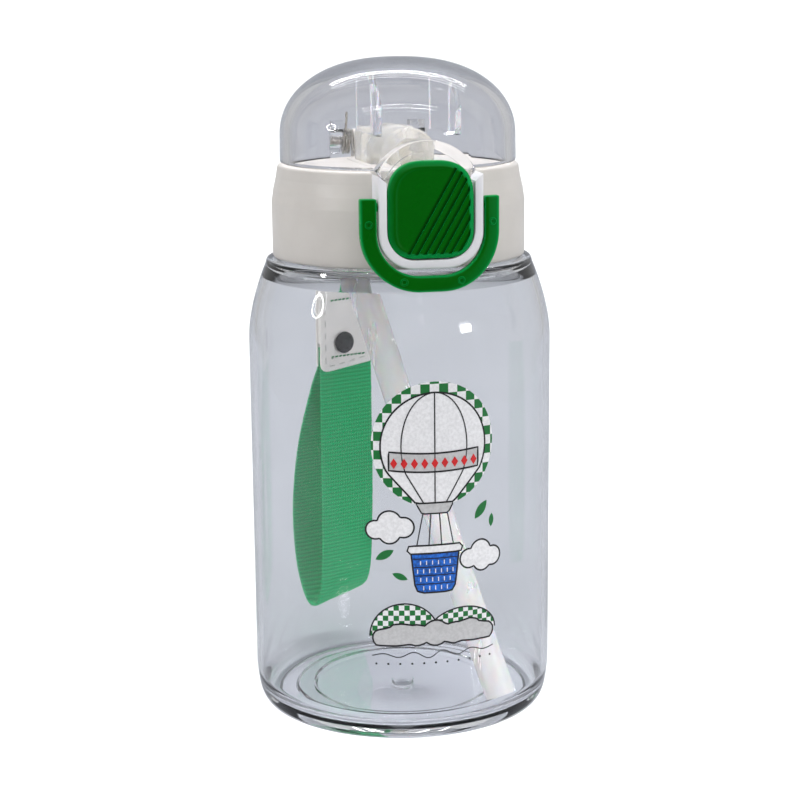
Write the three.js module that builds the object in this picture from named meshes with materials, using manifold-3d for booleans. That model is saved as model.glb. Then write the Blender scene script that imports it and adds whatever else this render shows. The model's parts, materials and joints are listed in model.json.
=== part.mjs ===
// Kids water bottle: clear vessel, screw lid with hinged dome, folding spout, push button,
// lock bail, straw and wrist strap. Millimetres, +Z up, origin at the centre of the base,
// button towards -Y, strap towards +Y.
import * as THREE from 'three';
import { mergeVertices } from 'three/addons/utils/BufferGeometryUtils.js';
import Module from 'manifold-3d';

const wasm = await Module();
wasm.setup();

// ---- driving dimensions ----
const GAP = 0.35;                 // running and seating clearance
const SIDES = 40;                 // facets of the large turned pieces

const BODY_R = 38;                // vessel
const WALL = 1.7;
const FLOOR = 3;
const FOOT_R = 35;                // the bottle stands on this ring
const FOOT_INNER_R = 32.4;
const UNDERSIDE_Z = 0.8;
const GATE_R = 2.2;               // flat moulding nub under the base, level with the foot
const INNER_CORNER_R = 5.2;
const SHOULDER_DROP = 5.2;        // how far the shoulder draws in, and how sharply
const SHOULDER_POWER = 1.7;
const SHOULDER_Z = 95;            // where the shoulder starts to draw in
const LEDGE_Z = 115;              // flat ledge that the collar stands over
const NECK_R = 26;
const NECK_BORE_R = 24.2;
const NECK_TOP = 125;

const THREAD_LEAD = 6.4;          // two starts, so the ridges are half a lead apart
const THREAD_STARTS = 2;
const THREAD_HEIGHT = 1.15;
const THREAD_WIDTH = 1.2;
const THREAD_TURNS = 0.85;
const THREAD_Z = 117.6;

const COLLAR_R = 31.5;            // collar
const COLLAR_BORE_R = 28.95;
const COLLAR_BOTTOM = 115.4;
const COLLAR_TOP = 138;
const RIM_BORE_R = 26.9;          // the bore is narrower above RIM_STEP_Z
const RIM_STEP_Z = 135.8;
const CAP_R = 28.6;               // threaded inner lid
const CAP_BORE_R = 27.6;
const CAP_BOTTOM = 116;
const CEILING_Z = 127.2;
const CAP_TOP = 129.2;
const DECK_R = 26.5;              // deck inside the dome
const DECK_TOP = 138.6;
const DECK_BOTTOM = 136.4;

const DOME_BOTTOM = 138.35;       // dome
const DOME_TOP = 164;
const DOME_R = 29.3;
const DOME_WALL = 2.4;
const DOME_SPRING_Z = 145;        // the wall is near upright below this
const HINGE_Y = 30.5;
const HINGE_Z = 142;
const KNUCKLE_R = 3.1;
const PIN_R = 1.25;
const HINGE_LEFT = -6;            // the collar's knuckle; the spring sits left of it
const HINGE_RIGHT = 9.1;
const EAR_IN = 9.4;               // the dome's ears span EAR_IN to EAR_OUT on both sides
const EAR_OUT = 12.9;
const NOTCH_HALF = 13.3;

const BUTTON_HALF = 10.2;         // button, bezel and bail
const BUTTON_LOW_R = 6.6;
const BUTTON_TOP_R = 8.2;
const BUTTON_BOTTOM = 118.55;
const BUTTON_HEIGHT = 22.35;
const BUTTON_FRONT = -37;
const BUTTON_BACK = -34.2;
const BEZEL_HALF = 12.5;
const BEZEL_BOTTOM = 116.1;
const BEZEL_FRONT = -36.2;
const BEZEL_TOP = 137.9;
const SLEEVE_HALF = 11.85;        // the bezel's sleeve reaches back through the collar
const SLEEVE_BOTTOM = 117.15;
const SLEEVE_FLOOR = -30.2;
const SLEEVE_BACK = -28.95;
const GROOVE_COUNT = 7;           // slanting grip grooves on the button
const GROOVE_WIDTH = 0.8;
const GROOVE_PITCH = 2;
const GROOVE_FIRST_X = 0.1;
const GROOVE_SLANT = THREE.MathUtils.degToRad(30);
const BAIL_OUT = 16.6;
const BAIL_IN = 12.85;
const BAIL_BOTTOM = 110.8;
const BAIL_TOP = 132.7;
const BAIL_BAR = 3.8;
const BAIL_FRONT = -37.8;
const BAIL_Z = 130.7;             // the bail's pivot
const BAIL_Y = -34.7;
const BAIL_DEPTH = 2.6;
const BAIL_BOW_R = 60;
const PEG_R = 1;
const SPRING_Z = 123.3;           // the button's return spring
const BUTTON_SPRING_Y = -33.6;

const TAB_R = 13.3;               // dome's front tab, a slice of this circle
const TAB_Z = 132.3;
const TAB_RIM = 2.5;
const TAB_FRONT = -32;
const TAB_BACK = -31.2;
const TAB_LOW_Z = 136.5;
const TONGUE_BOTTOM = 131.5;
const TONGUE_HALF = 6;
const RIB_X = 9.3;                // two plates under the crown, one each side of the spout
const RIB_THICK = 1.4;
const RIB_BOTTOM = 146;

const SPOUT_Y = 3;                // silicone spout: pivot of its ball end
const SPOUT_Z = 140.6;
const SPOUT_R = 6.9;
const SPOUT_BORE_R = 3.6;
const SPOUT_MOUTH = -13;
const TROUGH_HALF = 7.7;
const TROUGH_FRONT = -15.2;
const TROUGH_BACK = 20.4;
const TROUGH_FLOOR = 133.3;
const TROUGH_WALL = 1.5;

const STRAW_R = 3.8;
const STRAW_BORE_R = 2.8;
const PORT = new THREE.Vector2(-8.6, 14);     // where the straw plugs on to the duct
const STRAW_FOOT = new THREE.Vector3(19.7, -24.3, 5.5);
const STRAW_BEND = new THREE.Vector3(-6.83, 11.64, 104);
const DUCT_BOTTOM = 122.3;
const DUCT_TOP = 126.8;
const VALVE = new THREE.Vector2(14, -10);

const BAR_Y = 35.3;               // strap bar behind the collar
const BAR_Z = 120;
const BAR_R = 1.5;
const BAR_HALF = 8.4;
const POST_OUT = 10.8;
const STRAP_X = -6.9;
const STRAP_Y = 41.8;
const STRAP_TWIST = THREE.MathUtils.degToRad(20);
const STRAP_WIDTH = 16.6;
const WEB_THICK = 1.2;
const LEAF_THICK = 3.2;           // folded tab
const TAB_TOP_Z = 102;
const TAB_BOTTOM_Z = 78.2;
const TAB_SLANT = 2;              // the tab's right lower corner is this much higher
const SNAP_X = -1.2;
const SNAP_Z = 86;
const SNAP_R = 3;
const SNAP_STEM_R = 0.7;
const HANG_FROM_Z = 76;           // below here the loop leans sideways and its left edge sags
const HANG_DEPTH = 60;
const SAG = 0.2;                  // height lost per millimetre across, at the bottom
const LEAN = 0.1;                 // sideways shift per millimetre away from the vessel

// ---- helpers ----
const X = new THREE.Vector3(1, 0, 0);
const Y = new THREE.Vector3(0, 1, 0);
const Z = new THREE.Vector3(0, 0, 1);

function solid(geometry) {
  const bare = geometry.clone();
  bare.deleteAttribute('normal');
  bare.deleteAttribute('uv');
  const merged = mergeVertices(bare, 1e-5);
  return new wasm.Manifold(new wasm.Mesh({
    numProp: 3,
    vertProperties: new Float32Array(merged.attributes.position.array),
    triVerts: new Uint32Array(merged.index.array),
  }));
}

function geometryOf(body) {
  const mesh = body.getMesh();
  const geometry = new THREE.BufferGeometry();
  geometry.setAttribute('position', new THREE.BufferAttribute(mesh.vertProperties, 3));
  geometry.setIndex(new THREE.BufferAttribute(mesh.triVerts, 1));
  geometry.computeVertexNormals();
  return geometry;
}

// profile of [radius, height] pairs turned about the Z axis
function turned(profile, sides = SIDES) {
  const points = profile.map(([r, z]) => new THREE.Vector2(r, z));
  return new THREE.LatheGeometry(points, sides).rotateX(Math.PI / 2);
}

// ring with a rectangular section
function ring(inner, outer, low, high, sides = SIDES) {
  return turned([[inner, low], [outer, low], [outer, high], [inner, high], [inner, low]], sides);
}

// upright cylinder between two heights
function post(radius, low, high, x = 0, y = 0, sides = 24) {
  return new THREE.CylinderGeometry(radius, radius, high - low, sides)
    .rotateX(Math.PI / 2)
    .translate(x, y, (low + high) / 2);
}

// cylinder along X between two places
function rod(radius, from, to, y, z, sides = 24) {
  return new THREE.CylinderGeometry(radius, radius, to - from, sides)
    .rotateZ(-Math.PI / 2)
    .translate((from + to) / 2, y, z);
}

// cylinder along Y between two places
function bore(radius, from, to, x, z, sides = 24) {
  return new THREE.CylinderGeometry(radius, radius, to - from, sides)
    .translate(x, (from + to) / 2, z);
}

function box(low, high) {
  const size = high.map((value, i) => value - low[i]);
  return new THREE.BoxGeometry(...size)
    .translate(low[0] + size[0] / 2, low[1] + size[1] / 2, low[2] + size[2] / 2);
}

// shape drawn as seen from the front (x, z), given a depth from back to front along -Y
function frontPlate(shape, front, back, curveSegments = 8, bevel = {}) {
  const settings = { depth: back - front, bevelEnabled: false, curveSegments, ...bevel };
  return new THREE.ExtrudeGeometry(shape, settings).rotateX(Math.PI / 2).translate(0, back, 0);
}

// shape drawn from the side (y, z), given a width along X
function sidePlate(shape, from, to, curveSegments = 8) {
  const settings = { depth: to - from, bevelEnabled: false, curveSegments };
  const turn = new THREE.Matrix4().makeBasis(Y, Z, X);
  return new THREE.ExtrudeGeometry(shape, settings).applyMatrix4(turn).translate(from, 0, 0);
}

// upright rounded rectangle; the upper corners can have a radius of their own
function roundedBox(halfWidth, bottom, top, radius, topRadius = radius) {
  const shape = new THREE.Shape();
  shape.absarc(halfWidth - radius, bottom + radius, radius, -Math.PI / 2, 0);
  shape.absarc(halfWidth - topRadius, top - topRadius, topRadius, 0, Math.PI / 2);
  shape.absarc(topRadius - halfWidth, top - topRadius, topRadius, Math.PI / 2, Math.PI);
  shape.absarc(radius - halfWidth, bottom + radius, radius, Math.PI, 1.5 * Math.PI);
  return shape;
}

// U outline, square at the top, with round lower corners
function cup(halfWidth, bottom, top, radius) {
  const shape = new THREE.Shape();
  shape.moveTo(halfWidth, top);
  shape.lineTo(-halfWidth, top);
  shape.absarc(radius - halfWidth, bottom + radius, radius, Math.PI, 1.5 * Math.PI);
  shape.absarc(halfWidth - radius, bottom + radius, radius, 1.5 * Math.PI, 2 * Math.PI);
  return shape;
}

function asSolids(shapes) {
  return shapes.map((shape) => (shape.isBufferGeometry ? solid(shape) : shape));
}

function union(...shapes) {
  return asSolids(shapes).reduce((a, b) => a.add(b));
}

function cut(body, ...shapes) {
  return asSolids(shapes).reduce((a, b) => a.subtract(b), body);
}

function tube(curve, radius, steps, sides, boreRadius = 0) {
  const section = new THREE.Shape().absarc(0, 0, radius, 0, 2 * Math.PI);
  if (boreRadius) {
    section.holes.push(new THREE.Path().absarc(0, 0, boreRadius, 0, 2 * Math.PI, true));
  }
  return new THREE.ExtrudeGeometry(section, { steps, curveSegments: sides, extrudePath: curve });
}

// thread ridge: a straight bar bent round the axis; inward ridges point towards the axis
function threadRidge(radius, startAngle, zStart, inward) {
  const reach = inward ? -THREAD_HEIGHT : THREAD_HEIGHT;
  const root = inward ? 0.5 : -0.5;
  const section = new THREE.Shape([
    new THREE.Vector2(root, -THREAD_WIDTH / 2),
    new THREE.Vector2(reach, -THREAD_WIDTH / 4),
    new THREE.Vector2(reach, THREAD_WIDTH / 4),
    new THREE.Vector2(root, THREAD_WIDTH / 2),
  ]);
  const steps = Math.round(24 * THREAD_TURNS);
  const bar = new THREE.ExtrudeGeometry(section, { depth: 1, steps, bevelEnabled: false });
  const place = bar.attributes.position;
  for (let i = 0; i < place.count; i += 1) {
    const turn = place.getZ(i) * THREAD_TURNS;
    const angle = startAngle + turn * 2 * Math.PI;
    const r = radius + place.getX(i);
    const z = zStart + place.getY(i) + turn * THREAD_LEAD;
    place.setXYZ(i, r * Math.cos(angle), r * Math.sin(angle), z);
  }
  // the bend swaps handedness, so each triangle is turned over
  const corner = new THREE.Vector3();
  const flipped = [];
  for (let i = 0; i < place.count; i += 3) {
    [i, i + 2, i + 1].forEach((k) => flipped.push(...corner.fromBufferAttribute(place, k)));
  }
  const geometry = new THREE.BufferGeometry();
  geometry.setAttribute('position', new THREE.Float32BufferAttribute(flipped, 3));
  return geometry;
}

function threads(radius, inward) {
  const between = THREAD_LEAD / THREAD_STARTS;
  const offset = inward ? between / 2 : 0;
  return Array.from({ length: THREAD_STARTS }, (_, start) =>
    threadRidge(radius, (start * 2 * Math.PI) / THREAD_STARTS, THREAD_Z + offset, inward));
}

const root = new THREE.Group();

function piece(name, shape, parent, { color, roughness = 0.4, metalness = 0, opacity = 1 }) {
  const geometry = shape.isBufferGeometry ? shape : geometryOf(shape);
  const transparent = opacity < 1;
  const material = new THREE.MeshStandardMaterial({ color, roughness, metalness, opacity, transparent });
  const mesh = new THREE.Mesh(geometry, material);
  mesh.name = name;
  parent.add(mesh);
  return mesh;
}

const clear = { color: 0xe8edf2, roughness: 0.06, opacity: 0.3 };
const white = { color: 0xecebe8, roughness: 0.35 };
const green = { color: 0x06711f, roughness: 0.28 };
const silicone = { color: 0xe9e8de, roughness: 0.5, opacity: 0.8 };
const steel = { color: 0x9a9a98, roughness: 0.3, metalness: 1 };

// ---- vessel ----
function shoulderRadius(z) {
  const t = (z - SHOULDER_Z) / (LEDGE_Z - SHOULDER_Z);
  return BODY_R - SHOULDER_DROP * Math.max(t, 0) ** SHOULDER_POWER;
}

function vesselProfile() {
  const innerR = BODY_R - WALL;
  const steps = 6;
  const outline = [
    [0, 0], [GATE_R, 0], [GATE_R + 0.5, UNDERSIDE_Z], [FOOT_INNER_R - 0.8, UNDERSIDE_Z],
    [FOOT_INNER_R, 0], [FOOT_R, 0],
  ];
  outline.push([36.3, 0.5], [37.1, 1.9], [37.7, 5.2], [BODY_R, 9], [BODY_R, SHOULDER_Z]);
  for (let i = 1; i <= steps; i += 1) {
    const z = SHOULDER_Z + (i * (LEDGE_Z - SHOULDER_Z - 1)) / steps;
    outline.push([shoulderRadius(z), z]);
  }
  outline.push([32.2, LEDGE_Z], [NECK_R, LEDGE_Z], [NECK_R, NECK_TOP], [NECK_BORE_R, NECK_TOP]);
  outline.push([NECK_BORE_R, LEDGE_Z - WALL], [30.4, LEDGE_Z - WALL]);
  outline.push([shoulderRadius(110) - WALL, 110]);
  for (let z = 106; z > SHOULDER_Z; z -= 5) outline.push([shoulderRadius(z) - WALL, z]);
  outline.push([innerR, SHOULDER_Z]);
  for (let i = 0; i <= 4; i += 1) {
    const angle = (i * Math.PI) / 8;
    outline.push([
      innerR - INNER_CORNER_R + INNER_CORNER_R * Math.cos(angle),
      FLOOR + INNER_CORNER_R - INNER_CORNER_R * Math.sin(angle),
    ]);
  }
  outline.push([0, FLOOR]);
  return outline;
}

const vessel = new THREE.Group();
root.add(vessel);
piece('bottle_body', union(turned(vesselProfile()), ...threads(NECK_R, false)), vessel, clear);

// ---- lid ----
const lid = new THREE.Group();
root.add(lid);

piece('lid_seal', ring(23.8, 27, NECK_TOP + GAP, 126.85), lid, silicone);

function capBody() {
  const shell = turned([
    [CAP_BORE_R, CAP_BOTTOM], [CAP_R, CAP_BOTTOM], [CAP_R, CAP_TOP], [0, CAP_TOP],
    [0, CEILING_Z], [CAP_BORE_R, CEILING_Z], [CAP_BORE_R, CAP_BOTTOM],
  ]);
  const ductHole = post(5.2, CEILING_Z - 1, CAP_TOP + 1, 0, SPOUT_Y);
  const valveHole = post(1.9, CEILING_Z - 1, CAP_TOP + 1, VALVE.x, VALVE.y, 16);
  return cut(union(shell, ...threads(CAP_BORE_R, true)), ductHole, valveHole);
}
piece('inner_lid', capBody(), lid, white);

function hingeKnuckle(from, to) {
  const side = new THREE.Shape();
  side.moveTo(28, COLLAR_TOP - 4);
  side.lineTo(31.2, COLLAR_TOP - 5);
  side.lineTo(HINGE_Y + KNUCKLE_R, HINGE_Z - 1);
  side.absarc(HINGE_Y, HINGE_Z, KNUCKLE_R, 0, Math.PI);
  side.lineTo(HINGE_Y - KNUCKLE_R, COLLAR_TOP - 1);
  return sidePlate(side, from, to, 7);
}

const POST_ROOT_Y = 29.2;

function barPost(from, to) {
  const side = new THREE.Shape();
  const endR = 2.2;
  const rootHalf = 2.6;
  side.moveTo(POST_ROOT_Y, BAR_Z - rootHalf);
  side.lineTo(BAR_Y, BAR_Z - endR);
  side.absarc(BAR_Y, BAR_Z, endR, -Math.PI / 2, Math.PI / 2);
  side.lineTo(POST_ROOT_Y, BAR_Z + rootHalf);
  return sidePlate(side, from, to, 6);
}

function collarBody() {
  const shell = turned([
    [COLLAR_BORE_R, COLLAR_BOTTOM], [31.15, COLLAR_BOTTOM], [COLLAR_R, 115.8], [COLLAR_R, 128],
    [31.1, 131.5], [30.5, 134.2], [30.05, 136.4], [29.7, 137.6], [29.2, COLLAR_TOP],
    [RIM_BORE_R, COLLAR_TOP], [RIM_BORE_R, RIM_STEP_Z], [COLLAR_BORE_R, RIM_STEP_Z],
    [COLLAR_BORE_R, COLLAR_BOTTOM],
  ]);
  const pocket = frontPlate(cup(BEZEL_HALF - 0.3, 116.8, COLLAR_TOP + 2, 8.2), -34, -24);
  const posts = [[-POST_OUT, -BAR_HALF], [BAR_HALF, POST_OUT]].map(([a, b]) => barPost(a, b));
  const bar = rod(BAR_R, -BAR_HALF - 1, BAR_HALF + 1, BAR_Y, BAR_Z, 12);
  const pinHole = rod(PIN_R + GAP, -EAR_OUT - 1, EAR_OUT + 1, HINGE_Y, HINGE_Z, 16);
  return cut(union(shell, hingeKnuckle(HINGE_LEFT, HINGE_RIGHT), ...posts, bar), pocket, pinHole);
}
piece('collar', collarBody(), lid, white);

function deckBody() {
  const disc = post(DECK_R, DECK_BOTTOM, DECK_TOP, 0, 0, SIDES);
  const skirt = ring(24.5, 26.2, CAP_TOP + 0.3, DECK_BOTTOM + 0.5);
  const outerHalf = TROUGH_HALF + TROUGH_WALL;
  const troughBox = box(
    [-outerHalf, TROUGH_FRONT - TROUGH_WALL, TROUGH_FLOOR - TROUGH_WALL],
    [outerHalf, TROUGH_BACK + TROUGH_WALL, DECK_BOTTOM + 1],
  );
  const cavity = box(
    [-TROUGH_HALF, TROUGH_FRONT, TROUGH_FLOOR],
    [TROUGH_HALF, TROUGH_BACK, DECK_TOP + 2],
  );
  const ductHole = post(5.2, TROUGH_FLOOR - TROUGH_WALL - 1, TROUGH_FLOOR + 1, 0, SPOUT_Y);
  const hookGap = box([-6, -28, CAP_TOP], [6, -22, DECK_BOTTOM]);
  const airHole = post(1.2, DECK_BOTTOM - 1, DECK_TOP + 1, VALVE.x, VALVE.y, 12);
  return cut(union(disc, skirt, troughBox), cavity, ductHole, hookGap, airHole);
}
piece('top_plate', deckBody(), lid, white);

// ---- spout and its water way ----
const spoutLying = new THREE.Group();
lid.add(spoutLying);
function spoutBody() {
  const tubeBody = bore(SPOUT_R, SPOUT_MOUTH, SPOUT_Y, 0, SPOUT_Z, 32);
  const ball = new THREE.SphereGeometry(SPOUT_R, 32, 16).translate(0, SPOUT_Y, SPOUT_Z);
  return cut(union(tubeBody, ball), bore(SPOUT_BORE_R, SPOUT_MOUTH - 1, SPOUT_Y + 9, 0, SPOUT_Z, 20));
}
piece('mouthpiece', spoutBody(), spoutLying, silicone);

function seatBody() {
  const face = roundedBox(7.3, TROUGH_FLOOR + 0.3, 146.8, 2.4);
  return frontPlate(face, SPOUT_Y + SPOUT_R + 0.4, TROUGH_BACK - 0.4, 4);
}
piece('mouthpiece_seat', seatBody(), spoutLying, silicone);

function ductBody() {
  const along = new THREE.Vector2(0, SPOUT_Y).sub(PORT);
  const angle = Math.atan2(along.y, along.x);
  const outline = new THREE.Shape();
  outline.absarc(0, 0, 5, Math.PI / 2, 1.5 * Math.PI);
  outline.absarc(along.length(), 0, 5, -Math.PI / 2, Math.PI / 2);
  const settings = { depth: DUCT_TOP - DUCT_BOTTOM, bevelEnabled: false, curveSegments: 8 };
  const block = new THREE.ExtrudeGeometry(outline, settings)
    .rotateZ(angle)
    .translate(PORT.x, PORT.y, DUCT_BOTTOM);
  const middle = (DUCT_BOTTOM + DUCT_TOP) / 2;
  const riser = post(4.8, DUCT_TOP - 1, TROUGH_FLOOR - 0.2, 0, SPOUT_Y);
  const nipple = post(2.4, 117.6, DUCT_BOTTOM + 1, PORT.x, PORT.y, 16);
  const channel = new THREE.CylinderGeometry(1.5, 1.5, along.length(), 12)
    .rotateZ(-Math.PI / 2)
    .translate(along.length() / 2, 0, 0)
    .rotateZ(angle)
    .translate(PORT.x, PORT.y, middle);
  return cut(
    union(block, riser, nipple),
    channel,
    post(3, middle, TROUGH_FLOOR + 1, 0, SPOUT_Y, 16),
    post(1.5, 116, middle, PORT.x, PORT.y, 12),
  );
}
piece('straw_adapter', ductBody(), lid, white);
const portRing = ring(5.15, 7, CAP_TOP + 0.3, TROUGH_FLOOR - TROUGH_WALL - 0.3, 24);
piece('port_seal', portRing, lid, silicone).position.set(0, SPOUT_Y, 0);

// straight and slanting in the vessel, then upright on the duct's nipple
function strawCurve() {
  const top = new THREE.Vector3(PORT.x, PORT.y, DUCT_BOTTOM - 0.3);
  const upright = new THREE.Vector3(PORT.x, PORT.y, 117);
  const corner = new THREE.Vector3(PORT.x, PORT.y, 110.5);
  const path = new THREE.CurvePath();
  path.add(new THREE.LineCurve3(STRAW_FOOT, STRAW_BEND));
  path.add(new THREE.QuadraticBezierCurve3(STRAW_BEND, corner, upright));
  path.add(new THREE.LineCurve3(upright, top));
  return path;
}
piece('straw', tube(strawCurve(), STRAW_R, 28, 6, STRAW_BORE_R), lid,
  { color: 0xe4e8ea, roughness: 0.35, opacity: 0.5 });

const valveBody = turned([
  [0, 125.6], [2.3, 125.9], [2.3, 126.8], [1.5, 126.9], [1.5, CAP_TOP + 0.3], [3.4, CAP_TOP + 0.3],
  [3.4, 130.3], [0, 130.7],
], 16);
piece('vent_valve', valveBody, lid, silicone).position.set(VALVE.x, VALVE.y, 0);

// ---- dome ----
const dome = new THREE.Group();
root.add(dome);

function domeOuter(steps) {
  // quarter of a superellipse from the straight skirt to the crown
  const points = [[DOME_R, DOME_BOTTOM], [DOME_R - 0.1, DOME_SPRING_Z]];
  for (let i = 1; i <= steps; i += 1) {
    const angle = (i * Math.PI) / (2 * steps);
    const r = (DOME_R - 0.1) * Math.cos(angle) ** 0.86;
    const rise = (DOME_TOP - DOME_SPRING_Z) * Math.sin(angle) ** 0.95;
    points.push([i === steps ? 0 : r, DOME_SPRING_Z + rise]);
  }
  return points;
}

function domeInner(steps) {
  const scale = (DOME_R - DOME_WALL) / DOME_R;
  const rise = (DOME_TOP - DOME_SPRING_Z - DOME_WALL) / (DOME_TOP - DOME_SPRING_Z);
  return domeOuter(steps).map(([r, z]) => [
    r * scale,
    z <= DOME_SPRING_Z ? z : DOME_SPRING_Z + (z - DOME_SPRING_Z) * rise,
  ]);
}

// slice of a circle with cut-off lower corners, and the latch tongue below it
function tabOutline() {
  const half = Math.sqrt(TAB_R ** 2 - (DOME_BOTTOM - TAB_Z) ** 2);
  const start = Math.atan2(DOME_BOTTOM - TAB_Z, half);
  const shape = new THREE.Shape();
  shape.absarc(0, TAB_Z, TAB_R, start, Math.PI - start);
  const lower = [
    [TONGUE_HALF, TONGUE_BOTTOM], [TONGUE_HALF, TAB_LOW_Z], [10.3, TAB_LOW_Z], [11.6, DOME_BOTTOM],
  ];
  [...lower].reverse().forEach(([x, z]) => shape.lineTo(-x, z));
  lower.forEach(([x, z]) => shape.lineTo(x, z));
  return shape;
}

function domeBody() {
  const outer = domeOuter(9);
  const shell = solid(turned([...outer, ...domeInner(9).reverse(), outer[0]]));
  const inside = solid(turned([[0, DOME_BOTTOM - 1], [RIM_BORE_R, DOME_BOTTOM - 1], ...domeInner(9)]));
  const rimPlate = cut(
    solid(frontPlate(tabOutline(), TAB_FRONT, TAB_BACK + 0.2, 14)),
    bore(TAB_R - TAB_RIM, TAB_FRONT - 1, TAB_BACK, 0, TAB_Z, 48),
    box([-20, TAB_FRONT - 1, 120], [20, -20, TAB_LOW_Z]),
  );
  const tabPlate = cut(
    solid(frontPlate(tabOutline(), TAB_BACK, -24, 14)),
    inside,
    box([-20, -28, 120], [20, -20, DOME_BOTTOM]),
    box([-20, -32, 120], [20, -20, TAB_LOW_Z]),
  );
  const tongue = box([-TONGUE_HALF, -31.5, TONGUE_BOTTOM], [TONGUE_HALF, -30.4, 138]);
  const vault = solid(turned([[0, 140], [27.4, 140], [27.2, 150], [22.2, 157.2], [0, 162.4]]));
  const ribs = [-RIB_X, RIB_X].map((x) => {
    const plate = box([x - RIB_THICK / 2, -23, RIB_BOTTOM], [x + RIB_THICK / 2, 3, 162]);
    return solid(plate).intersect(vault);
  });
  const ears = [[-EAR_OUT, -EAR_IN], [EAR_IN, EAR_OUT]].map(([a, b]) => union(
    rod(KNUCKLE_R, a, b, HINGE_Y, HINGE_Z, 20),
    cut(solid(box([a, 24.4, HINGE_Z + 0.2], [b, HINGE_Y, 148])), inside),
  ));
  const notch = box([-NOTCH_HALF, 18, DOME_BOTTOM - 1], [NOTCH_HALF, 40, 145.8]);
  const body = cut(union(shell, rimPlate, tabPlate, tongue, ...ribs), notch);
  return cut(
    union(body, ...ears),
    rod(PIN_R + GAP, -EAR_OUT - 1, EAR_OUT + 1, HINGE_Y, HINGE_Z, 16),
  );
}
piece('dome_cover', domeBody(), dome, clear);

piece('hinge_pin', rod(PIN_R, -EAR_OUT + 0.3, EAR_OUT - 0.3, HINGE_Y, HINGE_Z, 16), lid, steel);

// foot on the deck side, three coils round the pin, then the leg that lifts the dome
function torsionSpring() {
  const coilR = 2.9;
  const turns = 3;
  const pitch = 0.72;
  const footY = 26.6;
  const footZ = 139.4;
  const first = -6.6;
  const last = first - pitch * turns;
  const steps = 12 * turns;
  const points = [
    new THREE.Vector3(-3.8, footY, footZ),
    new THREE.Vector3(-5.6, footY, footZ),
    new THREE.Vector3(-6.45, footY + 0.1, footZ + 0.5),
  ];
  for (let i = 0; i <= steps; i += 1) {
    const angle = Math.PI + (i / steps) * turns * 2 * Math.PI;
    points.push(new THREE.Vector3(
      first - (pitch * turns * i) / steps,
      HINGE_Y + coilR * Math.cos(angle),
      HINGE_Z - coilR * Math.sin(angle),
    ));
  }
  points.push(new THREE.Vector3(last, footY, HINGE_Z + 2));
  points.push(new THREE.Vector3(last, 24, 146.2), new THREE.Vector3(last, 22.8, 150.5));
  return new THREE.CatmullRomCurve3(points, false, 'centripetal');
}
piece('torsion_spring', tube(torsionSpring(), 0.3, 64, 2), lid, steel);

// ---- button, bezel and latch ----
const front = new THREE.Group();
root.add(front);

function bezelBody() {
  const outer = cup(BEZEL_HALF, BEZEL_BOTTOM, BEZEL_TOP, 8.5);
  const sleeve = cup(SLEEVE_HALF, SLEEVE_BOTTOM, BEZEL_TOP, 7.9);
  const inner = cup(BUTTON_HALF + GAP, BUTTON_BOTTOM - GAP, 140, 6.9);
  const round = post(COLLAR_R + GAP, 100, 150, 0, 0, SIDES);
  const rim = cut(solid(frontPlate(outer, BEZEL_FRONT, -26)), round);
  const tubePart = solid(frontPlate(sleeve, -33, SLEEVE_BACK));
  const back = frontPlate(cup(SLEEVE_HALF, SLEEVE_BOTTOM, CAP_TOP, 7.9), SLEEVE_FLOOR, SLEEVE_BACK);
  const slopes = [-1, 1].map((side) => {
    const wedge = new THREE.Shape([
      new THREE.Vector2(10, 135.8), new THREE.Vector2(12.6, 138),
      new THREE.Vector2(12.6, 140), new THREE.Vector2(10, 140),
    ].map((v) => new THREE.Vector2(v.x * side, v.y)));
    return frontPlate(wedge, -40, -20);
  });
  const opening = frontPlate(inner, -40, SLEEVE_FLOOR);
  const passage = box([-11, SLEEVE_FLOOR - 0.1, CAP_TOP], [11, -28, 141]);
  const pegHoles = rod(PEG_R + GAP, -20, 20, BAIL_Y, BAIL_Z, 16);
  return cut(union(cut(union(rim, tubePart), opening, passage), back), ...slopes, pegHoles);
}
piece('button_bezel', bezelBody(), front, white);

function buttonBody() {
  const edge = 1.1;
  const bevel = {
    bevelEnabled: true, bevelThickness: 0.9, bevelSize: edge, bevelOffset: -edge, bevelSegments: 2,
  };
  const top = BUTTON_BOTTOM + BUTTON_HEIGHT;
  const face = roundedBox(BUTTON_HALF, BUTTON_BOTTOM, top, BUTTON_LOW_R, BUTTON_TOP_R);
  const cap = frontPlate(face, BUTTON_FRONT + 0.9, BUTTON_BACK, 6, bevel);
  const flat = box([-20, BUTTON_BACK, 100], [20, BUTTON_BACK + 3, 160]);
  const skirtOutline = cup(BUTTON_HALF - 0.5, BUTTON_BOTTOM + 0.5, 129, 6.1);
  const skirt = cut(
    solid(frontPlate(skirtOutline, BUTTON_BACK - 0.5, -32.2, 6)),
    frontPlate(cup(BUTTON_HALF - 1.6, BUTTON_BOTTOM + 1.6, 130, 5), BUTTON_BACK - 0.01, -32, 6),
  );
  const stud = bore(1.4, BUTTON_BACK - 0.5, -32.4, 0, SPRING_Z, 12);
  const middle = BUTTON_BOTTOM + BUTTON_HEIGHT / 2;
  const fieldShape = roundedBox(
    BUTTON_HALF - 1, BUTTON_BOTTOM + 1, top - 1, BUTTON_LOW_R - 1, BUTTON_TOP_R - 1,
  );
  const field = solid(frontPlate(fieldShape, -39, -34, 5));
  const cuts = Array.from({ length: GROOVE_COUNT }, (_, i) => {
    const groove = new THREE.BoxGeometry(GROOVE_WIDTH, 1.4, 26)
      .rotateY(GROOVE_SLANT)
      .translate(GROOVE_FIRST_X + GROOVE_PITCH * i, BUTTON_FRONT, middle);
    return solid(groove).intersect(field);
  });
  return cut(union(cut(solid(cap), flat), skirt, stud), ...cuts);
}
piece('push_button', buttonBody(), front, green);

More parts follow.
